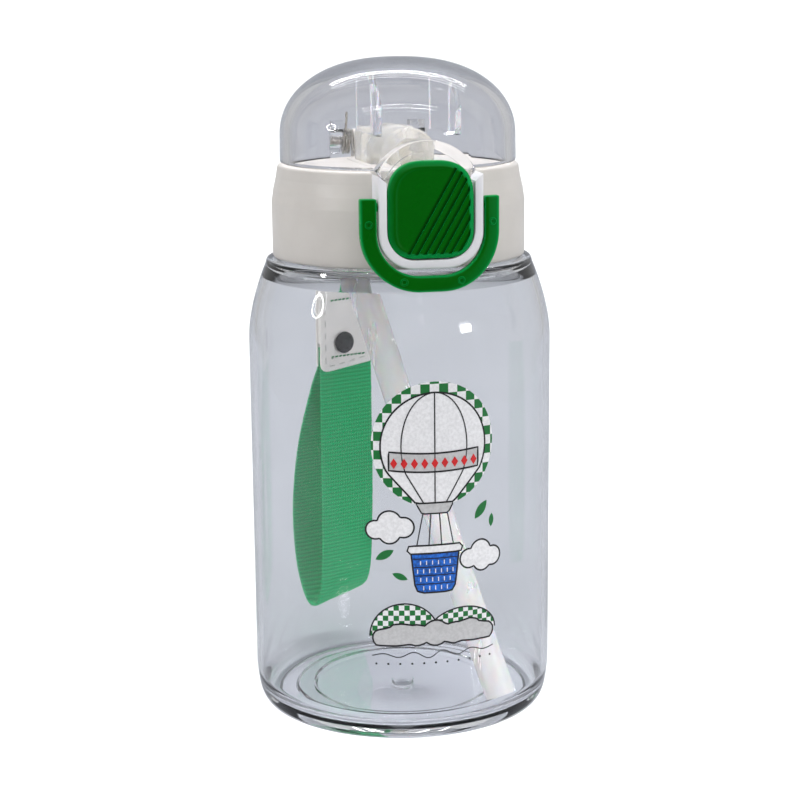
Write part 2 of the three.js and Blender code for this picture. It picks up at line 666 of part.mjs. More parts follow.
function hookBody() {
  const side = new THREE.Shape([
    new THREE.Vector2(-33.9, 126.3), new THREE.Vector2(-33, 126.3), new THREE.Vector2(-33, 129.6),
    new THREE.Vector2(-27.9, 129.6), new THREE.Vector2(-27.9, 135.6), new THREE.Vector2(-29.2, 135.6),
    new THREE.Vector2(-30.05, 134.4), new THREE.Vector2(-30.05, 133), new THREE.Vector2(-29.2, 133),
    new THREE.Vector2(-29.2, 131), new THREE.Vector2(-33.9, 131),
  ]);
  return sidePlate(side, -4, 4);
}
piece('latch_hook', hookBody(), front, white);

function compressionSpring() {
  const coilR = 2.2;
  const length = 2.8;
  const steps = 36;
  const points = [];
  for (let i = 0; i <= steps; i += 1) {
    const angle = (i / steps) * 6 * Math.PI;
    points.push(new THREE.Vector3(
      coilR * Math.cos(angle),
      BUTTON_SPRING_Y + (length * i) / steps,
      SPRING_Z + coilR * Math.sin(angle),
    ));
  }
  return new THREE.CatmullRomCurve3(points);
}
piece('button_spring', tube(compressionSpring(), 0.25, 40, 2), front, steel);

// U-shaped ring, bowed in plan, hanging from two pegs
function bailBody() {
  const shape = cup(BAIL_OUT, BAIL_BOTTOM, BAIL_TOP, 13.6);
  const inner = cup(BAIL_IN, BAIL_BOTTOM + BAIL_BAR, BAIL_TOP + 2, 10.2);
  const bar = cut(
    solid(frontPlate(shape, BAIL_FRONT, BAIL_FRONT + BAIL_DEPTH, 9)),
    frontPlate(inner, -39, -33, 9),
  );
  const bowed = bar.warp((v) => {
    v[1] += v[0] ** 2 / (2 * BAIL_BOW_R);
  });
  const pegs = [[-BAIL_IN - 1, -11.3], [11.3, BAIL_IN + 1]]
    .map(([a, b]) => rod(PEG_R, a, b, BAIL_Y, BAIL_Z, 12));
  return union(bowed, ...pegs);
}
piece('lock_bail', bailBody(), front, green);

// ---- strap ----
const strap = new THREE.Group();
root.add(strap);

// outline of a belt round two circles in the (y, z) plane: the bar above, the tab below
function belt(topR, lowR) {
  const top = new THREE.Vector2(BAR_Y, BAR_Z);
  const low = new THREE.Vector2(STRAP_Y - 0.2, TAB_TOP_Z + GAP + 1.4);
  const axis = low.clone().sub(top);
  const down = Math.atan2(axis.y, axis.x);
  const spread = Math.acos((topR - lowR) / axis.length());
  const shape = new THREE.Shape();
  shape.absarc(top.x, top.y, topR, down + spread, down - spread + 2 * Math.PI);
  shape.absarc(low.x, low.y, lowR, down - spread, down + spread);
  return shape;
}

// narrow tape round the bar, pinched where it meets the tab
function tapeBody() {
  const from = 0.4 - BAR_HALF;
  const outer = solid(sidePlate(belt(BAR_R + GAP + 1, 1.4), from, from + 4.6, 10));
  return cut(outer, sidePlate(belt(BAR_R + GAP, 0.4), from - 1, from + 6, 10));
}
piece('strap_loop', tapeBody(), strap, { color: 0x1d7a43, roughness: 0.8 });

// the strap hangs in a frame turned about the vertical: local x is across the webbing,
// local y points away from the vessel
const hanging = new THREE.Group();
hanging.position.set(STRAP_X, STRAP_Y, 0);
hanging.rotation.z = STRAP_TWIST;
strap.add(hanging);

function tabBody() {
  const half = STRAP_WIDTH / 2 + 0.3;
  const face = new THREE.Shape();
  face.moveTo(half, TAB_BOTTOM_Z + TAB_SLANT);
  face.lineTo(half, TAB_TOP_Z);
  face.lineTo(-half, TAB_TOP_Z);
  face.lineTo(-half, TAB_BOTTOM_Z + 2.5);
  face.quadraticCurveTo(-half, TAB_BOTTOM_Z, -half + 2.5, TAB_BOTTOM_Z);
  const leaves = solid(frontPlate(face, -LEAF_THICK / 2, LEAF_THICK / 2, 4));
  return cut(leaves, bore(SNAP_STEM_R + 0.4, -3, 3, SNAP_X, SNAP_Z, 12));
}
piece('strap_tab', tabBody(), hanging, { color: 0xdedad2, roughness: 0.55 });

function webbingBody() {
  const centre = new THREE.CatmullRomCurve3([
    [-0.3, 77.8], [-0.4, 60], [-0.2, 36], [1.2, 18.5], [5, 12.6], [10.2, 13.8], [15.2, 23],
    [16.8, 38], [12.6, 56], [5.2, 72], [1.5, 77.8],
  ].map(([y, z]) => new THREE.Vector3(y, z, 0)), false, 'centripetal');
  const samples = centre.getPoints(26);
  const left = [];
  const right = [];
  samples.forEach((point, i) => {
    const along = centre.getTangent(i / 26);
    const side = new THREE.Vector2(-along.y, along.x).multiplyScalar(WEB_THICK / 2);
    left.push(new THREE.Vector2(point.x + side.x, point.y + side.y));
    right.push(new THREE.Vector2(point.x - side.x, point.y - side.y));
  });
  const loop = new THREE.Shape([...right, ...left.reverse()]);
  return solid(sidePlate(loop, -STRAP_WIDTH / 2, STRAP_WIDTH / 2)).warp((v) => {
    const share = THREE.MathUtils.clamp((HANG_FROM_Z - v[2]) / HANG_DEPTH, 0, 1);
    v[2] += SAG * share * v[0];
    v[0] -= LEAN * v[1];
  });
}
piece('strap_webbing', webbingBody(), hanging, { color: 0x1d7a43, roughness: 0.85 });

// round head outside the tab with a short stem inside its hole
function snapPart(headFrom, headTo, stemFrom, stemTo) {
  return union(
    bore(SNAP_R, headFrom, headTo, SNAP_X, SNAP_Z, 20),
    bore(SNAP_STEM_R, stemFrom, stemTo, SNAP_X, SNAP_Z, 10),
  );
}
const darkMetal = { color: 0x4a4a4c, roughness: 0.35, metalness: 1 };
piece('snap_cap', snapPart(-2.8, -1.95, -2.4, 0.2), hanging, darkMetal);
piece('snap_socket', snapPart(1.95, 2.9, 0.6, 2.4), hanging, darkMetal);

export default root;
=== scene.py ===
"""Kids water bottle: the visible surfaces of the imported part, built in Blender.

Lengths below are in millimetres and are turned into metres when a mesh is made.
+Z is up, -Y is the button's side, +Y the strap's side.
"""
import json
import math

import bmesh
import bpy
from mathutils import Matrix, Vector, geometry, noise


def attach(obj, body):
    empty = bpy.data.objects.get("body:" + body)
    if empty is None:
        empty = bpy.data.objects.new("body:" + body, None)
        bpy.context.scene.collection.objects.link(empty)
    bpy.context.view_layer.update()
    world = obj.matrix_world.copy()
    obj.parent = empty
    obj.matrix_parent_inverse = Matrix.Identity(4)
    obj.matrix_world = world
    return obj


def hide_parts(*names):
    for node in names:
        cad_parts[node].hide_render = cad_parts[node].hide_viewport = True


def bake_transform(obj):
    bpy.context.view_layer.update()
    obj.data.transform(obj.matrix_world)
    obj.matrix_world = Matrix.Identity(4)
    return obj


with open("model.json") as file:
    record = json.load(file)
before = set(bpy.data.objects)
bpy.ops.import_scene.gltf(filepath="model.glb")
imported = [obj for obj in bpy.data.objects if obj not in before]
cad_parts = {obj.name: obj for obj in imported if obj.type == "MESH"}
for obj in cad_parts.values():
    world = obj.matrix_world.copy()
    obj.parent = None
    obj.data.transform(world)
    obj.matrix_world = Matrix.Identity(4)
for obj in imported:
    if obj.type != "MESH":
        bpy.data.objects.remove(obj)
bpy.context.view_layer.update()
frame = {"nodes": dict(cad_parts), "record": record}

MM = 0.001
SIDES = 192                       # facets of the large turned pieces

# vessel
BODY_R = 38.0
WALL = 1.7
FLOOR = 3.0
SHOULDER_Z = 95.0
LEDGE_Z = 115.0
NECK_R = 26.0
NECK_BORE_R = 24.2
NECK_TOP = 125.0
THREAD_LEAD = 6.4
THREAD_STARTS = 2
THREAD_HEIGHT = 1.15
THREAD_WIDTH = 1.2
THREAD_TURNS = 0.85
THREAD_Z = 117.6

# lid
COLLAR_R = 31.5
COLLAR_BORE_R = 28.95
COLLAR_BOTTOM = 115.4
COLLAR_TOP = 138.0
RIM_BORE_R = 26.9                 # the bore is narrower above RIM_STEP_Z
RIM_STEP_Z = 135.8
CAP_TOP = 129.2
DECK_R = 26.5
DECK_TOP = 138.6
DECK_BOTTOM = 136.4
DOME_BOTTOM = 138.35
DOME_TURN = 145.0                 # the dome's skirt is straight below this height
DOME_TOP = 164.0
DOME_R = 29.3
DOME_WALL = 2.4
HINGE_Y = 30.5
HINGE_Z = 142.0
KNUCKLE_R = 3.1
PIN_R = 1.25
HINGE_LEFT = -6.0                 # the collar's knuckle
HINGE_RIGHT = 9.1
EAR_IN = 9.4                      # the dome's ears, one on each side
EAR_OUT = 12.9
NOTCH_HALF = 13.3
GAP = 0.35

# button, bezel and bail
BUTTON_HALF = 10.2
BUTTON_BOTTOM = 118.55
BUTTON_HEIGHT = 22.35
BUTTON_LOW_R = 6.6
BUTTON_TOP_R = 8.2
BUTTON_ARCH = 0.3                 # rise of the top edge in the middle
BUTTON_FRONT = -37.0
BUTTON_BACK = -34.2
BEZEL_HALF = 12.5
BEZEL_BOTTOM = 116.1
BEZEL_FRONT = -36.2
BEZEL_TOP = 137.9
SLEEVE_HALF = 11.85               # the bezel's sleeve reaches back through the collar
SLEEVE_BOTTOM = 117.15
SLEEVE_FLOOR = -30.2
SLEEVE_BACK = -28.95
GROOVE_COUNT = 7                  # slanting grip grooves on the button
GROOVE_WIDTH = 0.8
GROOVE_PITCH = 2.0
GROOVE_FIRST_X = 0.1
GROOVE_SLANT = math.radians(30)
BUTTON_SPRING_Z = 123.3
BAIL_OUT = 16.6
BAIL_IN = 12.85
BAIL_BOTTOM = 110.8
BAIL_TOP = 132.7
BAIL_Z = 130.7
BAIL_Y = -34.7
BAIL_FRONT = -37.8
BAIL_DEPTH = 2.6
BAIL_BOW_R = 60.0
TAB_R = 13.3
TAB_Z = 132.3
TAB_RIM = 2.5
TAB_FRONT = -32.0
TAB_LOW_Z = 136.5
TONGUE_BOTTOM = 131.5
TONGUE_HALF = 6.0
RIB_X = 9.3
RIB_THICK = 1.4
RIB_BOTTOM = 146.0
RIB_FRONT = -23.0
RIB_BACK = 3.0

# spout and straw
SPOUT_Y = 3.0
SPOUT_Z = 140.6
SPOUT_R = 6.9
SPOUT_BORE_R = 3.6
SPOUT_MOUTH = -13.0
TROUGH_HALF = 7.7
TROUGH_FRONT = -15.2
TROUGH_BACK = 20.4
TROUGH_FLOOR = 133.3
TROUGH_WALL = 1.5
STRAW_R = 3.8
STRAW_BORE_R = 2.8
PORT = (-8.6, 14.0)
STRAW_FOOT = Vector((19.7, -24.3, 5.5))
STRAW_BEND = Vector((-6.83, 11.64, 104.0))
STRAW_TOP = 122.0
VALVE = (14.0, -10.0)

# strap
BAR_Y = 35.3
BAR_Z = 120.0
BAR_R = 1.5
BAR_HALF = 8.4
POST_OUT = 10.8
STRAP_X = -6.9
STRAP_Y = 41.8
STRAP_TWIST = math.radians(20)
STRAP_WIDTH = 16.6
WEB_THICK = 1.2
TAPE_WIDTH = 4.6
LEAF_TOP = 102.0
LEAF_BOTTOM = 78.2
LEAF_SLANT = 2.0
LEAF_HALF = 1.6                   # the folded tab's half thickness
SNAP_X = -1.2
SNAP_Z = 86.0
SNAP_R = 3.0
HANG_FROM_Z = 76.0                # below here the loop leans sideways and its left edge sags
HANG_DEPTH = 60.0
SAG = 0.2
LEAN = 0.1


# ---------------------------------------------------------------- camera and light
VIEW_AZIMUTH = math.radians(12.3)
VIEW_PITCH = math.radians(11.92)
VIEW_ROLL = math.radians(-0.551)
VIEW_DISTANCE = 465.94
VIEW_HEIGHT = 175.96
VIEW_LENS = 83.91
VIEW_TURN = Matrix.Rotation(-VIEW_AZIMUTH, 4, "Z")


def new_object(name, data):
    obj = bpy.data.objects.new(name, data)
    bpy.context.scene.collection.objects.link(obj)
    return obj


def make_camera():
    data = bpy.data.cameras.new("camera")
    data.lens = VIEW_LENS
    data.sensor_width = 36.0
    data.clip_start = 0.01
    camera = new_object("camera", data)
    tilt = Matrix.Rotation(math.pi / 2 - VIEW_PITCH, 4, "X")
    roll = Matrix.Rotation(VIEW_ROLL, 4, "Z")
    place = VIEW_TURN @ Matrix.Translation((0, -VIEW_DISTANCE * MM, VIEW_HEIGHT * MM))
    camera.matrix_world = place @ tilt @ roll
    bpy.context.scene.camera = camera


def area_light(name, place, target, size, power, colour=(1, 1, 1)):
    data = bpy.data.lights.new(name, "AREA")
    data.shape = "RECTANGLE"
    data.size, data.size_y = size
    data.energy = power
    data.color = colour
    lamp = new_object(name, data)
    lamp.location = place
    aim = Vector(target) - Vector(place)
    lamp.rotation_euler = aim.to_track_quat("-Z", "Y").to_euler()
    return lamp


# ---------------------------------------------------------------- meshes
def build(name, vertices, faces, sharp=32):
    """A mesh object from points in millimetres, smooth except across sharp edges."""
    mesh = bpy.data.meshes.new(name)
    mesh.from_pydata([tuple(c * MM for c in v) for v in vertices], [], faces)
    tidy = bmesh.new()
    tidy.from_mesh(mesh)
    bmesh.ops.remove_doubles(tidy, verts=tidy.verts, dist=2e-6)
    bmesh.ops.recalc_face_normals(tidy, faces=tidy.faces)
    tidy.to_mesh(mesh)
    tidy.free()
    obj = new_object(name, mesh)
    smooth(obj, sharp)
    return obj


def skin(name, rings, closed=False, sharp=32):
    """A solid from rings of equally many points, capped at its ends unless it closes on itself."""
    size, count = len(rings[0]), len(rings)
    faces = []
    for i in range(count if closed else count - 1):
        a, b = i * size, (i + 1) % count * size
        for k in range(size):
            m = (k + 1) % size
            faces.append((a + k, a + m, b + m, b + k))
    if not closed:
        faces.append(tuple(reversed(range(size))))
        faces.append(tuple(range((count - 1) * size, count * size)))
    return build(name, [point for ring in rings for point in ring], faces, sharp)


def smooth(obj, sharp=32):
    mesh = obj.data
    mesh.polygons.foreach_set("use_smooth", [True] * len(mesh.polygons))
    mesh.set_sharp_from_angle(angle=math.radians(sharp))
    mesh.update()


def bake_modifiers(obj):
    """The object's mesh with its modifiers applied."""
    graph = bpy.context.evaluated_depsgraph_get()
    result = bpy.data.meshes.new_from_object(obj.evaluated_get(graph))
    obj.modifiers.clear()
    old = obj.data
    obj.data = result
    bpy.data.meshes.remove(old)


def combine(target, operation, *others, sharp=32):
    """target joined with, or cut by, the other solids, which are then removed."""
    for other in others:
        step = target.modifiers.new("step", "BOOLEAN")
        step.operation = operation
        step.solver = "EXACT"
        step.object = other
        bake_modifiers(target)
        target.data.validate()
        bpy.data.objects.remove(other)
    smooth(target, sharp)
    return target


def join(name, pieces):
    """Separate solids kept as one object."""
    whole = bmesh.new()
    for piece in pieces:
        whole.from_mesh(piece.data)
        bpy.data.objects.remove(piece)
    mesh = bpy.data.meshes.new(name)
    whole.to_mesh(mesh)
    whole.free()
    obj = new_object(name, mesh)
    smooth(obj)
    return obj


def rounded(corners, closed=True, steps=5):
    """Points of an outline whose corners (x, y, radius) are rounded with arcs."""
    points = []
    count = len(corners)
    for i, corner in enumerate(corners):
        here = Vector(corner[:2])
        radius = corner[2] if len(corner) > 2 else 0
        if radius <= 0 or (not closed and i in (0, count - 1)):
            points.append(here)
            continue
        before = Vector(corners[i - 1][:2]) - here
        after = Vector(corners[(i + 1) % count][:2]) - here
        opening = before.angle(after)
        reach = radius / math.tan(opening / 2)
        reach = min(reach, 0.49 * before.length, 0.49 * after.length)
        start = here + before.normalized() * reach
        end = here + after.normalized() * reach
        for k in range(steps + 1):
            t = k / steps
            points.append(start * (1 - t) ** 2 + here * 2 * t * (1 - t) + end * t ** 2)
    return points


def arc(x, y, radius, start, end, steps):
    """Points on an arc, angles in degrees."""
    angles = [math.radians(start + (end - start) * i / steps) for i in range(steps + 1)]
    return [Vector((x + radius * math.cos(a), y + radius * math.sin(a))) for a in angles]


def turned(name, profile, sides=SIDES, warp=None, sharp=32):
    """A closed profile of (radius, height) points turned about Z."""
    vertices, faces, rings = [], [], []
    for r, z in profile:
        if r < 1e-6:
            rings.append([len(vertices)] * sides)
            vertices.append((0, 0, z))
            continue
        rings.append(list(range(len(vertices), len(vertices) + sides)))
        for k in range(sides):
            angle = 2 * math.pi * k / sides
            reach = warp(r, z, angle) if warp else r
            vertices.append((reach * math.cos(angle), reach * math.sin(angle), z))
    for i, ring in enumerate(rings):
        after = rings[(i + 1) % len(rings)]
        if ring[0] == ring[1] and after[0] == after[1]:
            continue
        for k in range(sides):
            m = (k + 1) % sides
            corners = list(dict.fromkeys((ring[k], ring[m], after[m], after[k])))
            if len(corners) > 2:
                faces.append(corners)
    return build(name, vertices, faces, sharp)


def inset(outline, distance):
    """A counter-clockwise outline moved inwards along its corners' normals."""
    if distance == 0:
        return [Vector(p) for p in outline]
    moved = []
    count = len(outline)
    for i, here in enumerate(outline):
        before = (Vector(here) - Vector(outline[i - 1])).normalized()
        after = (Vector(outline[(i + 1) % count]) - Vector(here)).normalized()
        middle = before + after
        if middle.length < 1e-6:
            middle = after
        middle.normalize()
        inward = Vector((-middle.y, middle.x))
        lean = max(0.35, inward.dot(Vector((-after.y, after.x))))
        moved.append(Vector(here) + inward * (distance / lean))
    return moved


def area_of(outline):
    pairs = zip(outline, list(outline[1:]) + [outline[0]])
    return sum(a[0] * b[1] - b[0] * a[1] for a, b in pairs) / 2


def plate(name, outline, low, high, place, low_edge=0.0, high_edge=0.0, steps=3, sharp=32):
    """A slab between two depths with rounded edges; place(u, v, depth) gives the point."""
    outline = [Vector(p) for p in outline]
    kept = [p for i, p in enumerate(outline) if (p - outline[i - 1]).length > 1e-4]
    if area_of(kept) < 0:
        kept.reverse()
    turn = [math.pi / 2 * k / steps for k in range(steps + 1)]
    layers = [(low, 0)]
    if low_edge:
        layers = [(low + low_edge * (1 - math.sin(a)), low_edge * (1 - math.cos(a)))
                  for a in reversed(turn)]
    if high_edge:
        layers += [(high - high_edge * (1 - math.sin(a)), high_edge * (1 - math.cos(a))) for a in turn]
    else:
        layers.append((high, 0))
    rings = [[place(p.x, p.y, depth) for p in inset(kept, shrink)] for depth, shrink in layers]
    return skin(name, rings, sharp=sharp)


def facing(u, v, depth):
    """Outline drawn from the front: x, z and a depth along Y."""
    return (u, depth, v)


def sideways(u, v, depth):
    """Outline drawn from the side: y, z and a depth along X."""
    return (depth, u, v)


def upright(u, v, depth):
    """Outline drawn from above: x, y and a height."""
    return (u, v, depth)


def block(name, low, high, edge=0.0):
    """A box with rounded edges."""
    radius = 1.7 * edge
    corners = [(low[0], low[2], radius), (high[0], low[2], radius),
               (high[0], high[2], radius), (low[0], high[2], radius)]
    return plate(name, rounded(corners), low[1], high[1], facing, edge, edge)


def rod(name, radius, low, high, place, centre=(0, 0), sides=48, edge=0.0):
    """A round bar between two depths."""
    outline = arc(centre[0], centre[1], radius, 0, 360 - 360 / sides, sides - 1)
    return plate(name, outline, low, high, place, edge, edge)


def cup(half, bottom, top, radius, steps=14):
    """A U outline, square at the top, counter-clockwise from the top left."""
    return (
        [Vector((-half, top))]
        + arc(radius - half, bottom + radius, radius, 180, 270, steps)
        + arc(half - radius, bottom + radius, radius, 270, 360, steps)
        + [Vector((half, top))]
    )


def rounded_box(half, bottom, top, radius, steps=14):
    return (
        arc(half - radius, bottom + radius, radius, 270, 360, steps)
        + arc(half - radius, top - radius, radius, 0, 90, steps)
        + arc(radius - half, top - radius, radius, 90, 180, steps)
        + arc(radius - half, bottom + radius, radius, 180, 270, steps)
    )


def swept(name, path, section, up=None, closed=False):
    """A section of (side, up) points carried along a path without twisting."""
    path = [Vector(p) for p in path]
    count = len(path)
    rings = []
    across = None
    for i, here in enumerate(path):
        before = path[i - 1] if (i or closed) else here
        after = path[(i + 1) % count] if (i < count - 1 or closed) else here
        along = (after - before).normalized()
        if up is not None:
            across = along.cross(Vector(up)).normalized()
        elif across is None:
            guess = Vector((0, 0, 1)) if abs(along.z) < 0.9 else Vector((0, 1, 0))
            across = along.cross(guess).normalized()
        else:
            across = (across - along * across.dot(along)).normalized()
        above = across.cross(along).normalized()
        shape = section(i / (count - 1)) if callable(section) else section
        rings.append([here + across * a + above * b for a, b in shape])
    return skin(name, rings, closed)


def circle(radius, sides=24):
    angles = [2 * math.pi * k / sides for k in range(sides)]
    return [(radius * math.cos(a), radius * math.sin(a)) for a in angles]


def spline(points, steps):
    """Catmull-Rom curve through the points, spaced evenly along its length."""
    points = [Vector(p) for p in points]
    fine = []
    for i, (p1, p2) in enumerate(zip(points, points[1:])):
        p0 = points[i - 1] if i else p1 * 2 - p2
        p3 = points[i + 2] if i + 2 < len(points) else p2 * 2 - p1
        for k in range(12):
            t = k / 12
            fine.append(0.5 * (2 * p1 + (p2 - p0) * t + (2 * p0 - 5 * p1 + 4 * p2 - p3) * t * t
                               + (3 * p1 - p0 - 3 * p2 + p3) * t ** 3))
    return evenly(fine + [points[-1]], steps)


def evenly(points, steps):
    """Points spaced evenly along a polyline."""
    reach = [0.0]
    for a, b in zip(points, points[1:]):
        reach.append(reach[-1] + (b - a).length)
    result = []
    j = 0
    for i in range(steps + 1):
        goal = reach[-1] * i / steps
        while j < len(reach) - 2 and reach[j + 1] < goal:
            j += 1
        span = reach[j + 1] - reach[j]
        t = (goal - reach[j]) / span if span else 0
        result.append(points[j].lerp(points[j + 1], t))
    return result


# ---------------------------------------------------------------- materials
class Shade:
    """A node material with a few short ways to add to it."""

    def __init__(self, name):
        self.material = bpy.data.materials.new(name)
        self.material.use_nodes = True
        self.tree = self.material.node_tree
        self.tree.nodes.clear()
        self.out = self.add("ShaderNodeOutputMaterial")
        self.surface = self.add("ShaderNodeBsdfPrincipled")
        self.link(self.surface.outputs[0], self.out.inputs["Surface"])
        self.place = self.add("ShaderNodeTexCoord").outputs["Object"]

    def add(self, kind, **settings):
        node = self.tree.nodes.new(kind)
        for key, value in settings.items():
            setattr(node, key, value)
        return node

    def link(self, source, target):
        self.tree.links.new(source, target)

    def set(self, **values):
        for key, value in values.items():
            self.surface.inputs[key.replace("_", " ")].default_value = value

    def scaled(self, scale):
        node = self.add("ShaderNodeMapping")
        node.inputs["Scale"].default_value = scale
        self.link(self.place, node.inputs["Vector"])
        return node.outputs[0]

    def noise(self, scale, detail=3.0, roughness=0.55, vector=None):
        node = self.add("ShaderNodeTexNoise")
        node.inputs["Scale"].default_value = scale
        node.inputs["Detail"].default_value = detail
        node.inputs["Roughness"].default_value = roughness
        self.link(vector or self.place, node.inputs["Vector"])
        return node.outputs["Fac"]

    def ramp(self, value, stops):
        node = self.add("ShaderNodeValToRGB")
        elements = node.color_ramp.elements
        while len(elements) < len(stops):
            elements.new(0.5)
        for element, (place, colour) in zip(elements, stops):
            element.position = place
            element.color = tuple(colour) + (1,)
        self.link(value, node.inputs[0])
        return node.outputs[0]

    def range(self, value, low, high, start=0.0, end=1.0):
        node = self.add("ShaderNodeMapRange")
        for key, number in zip(("From Min", "From Max", "To Min", "To Max"), (start, end, low, high)):
            node.inputs[key].default_value = number
        self.link(value, node.inputs["Value"])
        return node.outputs[0]

    def math(self, kind, a, b):
        node = self.add("ShaderNodeMath", operation=kind)
        for socket, value in zip(node.inputs, (a, b)):
            if isinstance(value, (int, float)):
                socket.default_value = value
            else:
                self.link(value, socket)
        return node.outputs[0]

    def colour(self, source):
        self.link(source, self.surface.inputs["Base Color"])

    def tinted(self, value, colour, spread, low=0.3, high=0.7):
        """Base colour between a darker and a lighter tone, as the value says."""
        dark, light = tones(colour, spread)
        self.colour(self.ramp(value, [(low, dark), (high, light)]))

    def roughness(self, value, smoothest, roughest, start=0.3, end=0.7):
        spread = self.range(value, smoothest, roughest, start, end)
        self.link(spread, self.surface.inputs["Roughness"])

    def bump(self, height, distance, strength=1.0):
        node = self.add("ShaderNodeBump")
        node.inputs["Strength"].default_value = strength
        node.inputs["Distance"].default_value = distance
        self.link(height, node.inputs["Height"])
        normal = self.surface.inputs["Normal"]
        if normal.is_linked:
            self.link(normal.links[0].from_socket, node.inputs["Normal"])
        self.link(node.outputs[0], normal)

    def light_through(self, tint):
        """Lamps shine through, so that what stands inside is lit."""
        clear = self.add("ShaderNodeBsdfTransparent")
        clear.inputs[0].default_value = tuple(tint) + (1,)
        mix = self.add("ShaderNodeMixShader")
        path = self.add("ShaderNodeLightPath")
        self.link(path.outputs["Is Shadow Ray"], mix.inputs[0])
        self.link(self.surface.outputs[0], mix.inputs[1])
        self.link(clear.outputs[0], mix.inputs[2])
        self.link(mix.outputs[0], self.out.inputs["Surface"])


def tones(colour, spread):
    """Darker and lighter versions of a colour."""
    dark = tuple(max(c * (1 - spread), 0) for c in colour)
    light = tuple(min(c * (1 + spread), 1) for c in colour)
    return dark, light


def moulded_plastic(name, colour, roughness, grain=900.0, gloss=0.5, scatter=0.0, edge=None):
    """Injection-moulded plastic: faint cloudiness, fine satin grain, uneven gloss, and, if an edge colour is
    given, a painted rim highlight that lightens the surface where it turns away from the view.
    """
    shade = Shade(name)
    dark, light = tones(colour, 0.05)
    tone_and_painted_sheen = shade.ramp(shade.noise(55, 4), [(0.3, dark), (0.7, light)])
    # Painted highlight: where the surface turns away from the view, its colour goes over to the lighter edge
    # colour.
    if edge:
        painted_sheen_facing = shade.add("ShaderNodeLayerWeight")
        painted_sheen_facing.inputs["Blend"].default_value = 0.3
        mix = shade.add("ShaderNodeMix", data_type="RGBA")
        shade.link(shade.range(painted_sheen_facing.outputs["Facing"], 0.0, 1.0, 0.035, 0.22), mix.inputs["Factor"])
        shade.link(tone_and_painted_sheen, mix.inputs[6])
        mix.inputs[7].default_value = tuple(edge) + (1,)
        tone_and_painted_sheen = mix.outputs[2]
    shade.colour(tone_and_painted_sheen)
    shade.roughness(shade.noise(160, 3), roughness - 0.05, roughness + 0.07)
    shade.bump(shade.noise(grain, 2), 0.00002, 0.35)
    shade.bump(shade.noise(38, 2), 0.00012, 0.25)
    shade.set(IOR=1.5, Specular_IOR_Level=gloss)
    if scatter:
        shade.set(Subsurface_Weight=scatter, Subsurface_Scale=0.002)
        shade.surface.inputs["Subsurface Radius"].default_value = (1.0, 0.9, 0.8)
    return shade.material


LAMP_TINT = (0.97, 0.97, 0.98)    # what one surface of clear plastic leaves of a lamp's light


def clear_plastic(name, tint, roughness=0.03, index=1.5, wave=0.12):
    """Polished clear plastic with faint flow waves and handling marks."""
    shade = Shade(name)
    shade.tinted(shade.noise(40, 3), tint, 0.012, 0.35, 0.65)
    shade.roughness(shade.noise(240, 4), roughness * 0.4, roughness * 1.6)
    shade.bump(shade.noise(26, 2), 0.0004, wave)
    shade.set(Transmission_Weight=1.0, IOR=index)
    shade.light_through(LAMP_TINT)
    return shade.material


def straw_plastic(name, colour):
    """Milky extruded tube with faint draw lines along it."""
    shade = Shade(name)
    lines = shade.noise(30, 4, vector=shade.scaled((12, 12, 1)))
    shade.tinted(lines, colour, 0.05)
    shade.roughness(lines, 0.14, 0.3)
    shade.bump(lines, 0.00003, 0.3)
    shade.set(Transmission_Weight=0.6, IOR=1.35, Subsurface_Weight=0.4, Subsurface_Scale=0.002)
    shade.light_through((0.9, 0.9, 0.9))
    return shade.material


def silicone_rubber(name, colour):
    """Soft translucent silicone."""
    shade = Shade(name)
    shade.tinted(shade.noise(90, 3), colour, 0.04)
    shade.roughness(shade.noise(300, 3), 0.16, 0.28)
    shade.bump(shade.noise(420, 2), 0.00002, 0.3)
    shade.set(Transmission_Weight=0.86, IOR=1.41, Subsurface_Weight=0.5, Subsurface_Scale=0.004)
    shade.surface.inputs["Subsurface Radius"].default_value = (1.0, 0.95, 0.8)
    shade.light_through((0.75, 0.74, 0.7))
    return shade.material


def steel(name, colour, roughness, direction=(900, 60, 60)):
    """Drawn or spun metal with fine scratches along one direction."""
    shade = Shade(name)
    drawn = shade.noise(6, 4, vector=shade.scaled(direction))
    shade.tinted(drawn, colour, 0.15)
    shade.roughness(drawn, roughness - 0.06, roughness + 0.1)
    shade.bump(drawn, 0.00001, 0.4)
    shade.set(Metallic=1.0)
    return shade.material


def webbing(name, colour, along, across):
    """Woven tape: weft ribs over the length, warp threads along it, and fuzz."""
    shade = Shade(name)
    dark, light = tones(colour, 0.35)
    bands = []
    for direction, scale, detail in (("Z", along, 1), ("X", across, 2)):
        wave = shade.add("ShaderNodeTexWave", wave_type="BANDS", bands_direction=direction)
        wave.inputs["Scale"].default_value = scale
        wave.inputs["Distortion"].default_value = 0.3
        wave.inputs["Detail"].default_value = detail
        wave.inputs["Detail Scale"].default_value = 6 if direction == "Z" else 1
        shade.link(shade.place, wave.inputs["Vector"])
        bands.append(wave.outputs["Fac"])
    woven = shade.math("ADD", shade.math("MULTIPLY", bands[0], 0.6), shade.math("MULTIPLY", bands[1], 0.4))
    fuzz = shade.noise(1600, 3)
    mixed = shade.math("ADD", shade.math("MULTIPLY", woven, 0.65), shade.math("MULTIPLY", fuzz, 0.35))
    shade.colour(shade.ramp(mixed, [(0.15, dark), (0.55, colour), (0.9, light)]))
    shade.roughness(fuzz, 0.75, 0.95, 0.0, 1.0)
    shade.bump(woven, 0.00018, 0.6)
    shade.bump(fuzz, 0.00006, 0.5)
    shade.set(Sheen_Weight=0.1, Sheen_Roughness=0.4, Specular_IOR_Level=0.05)
    shade.surface.inputs["Sheen Tint"].default_value = (0.3, 0.8, 0.45, 1)
    return shade.material


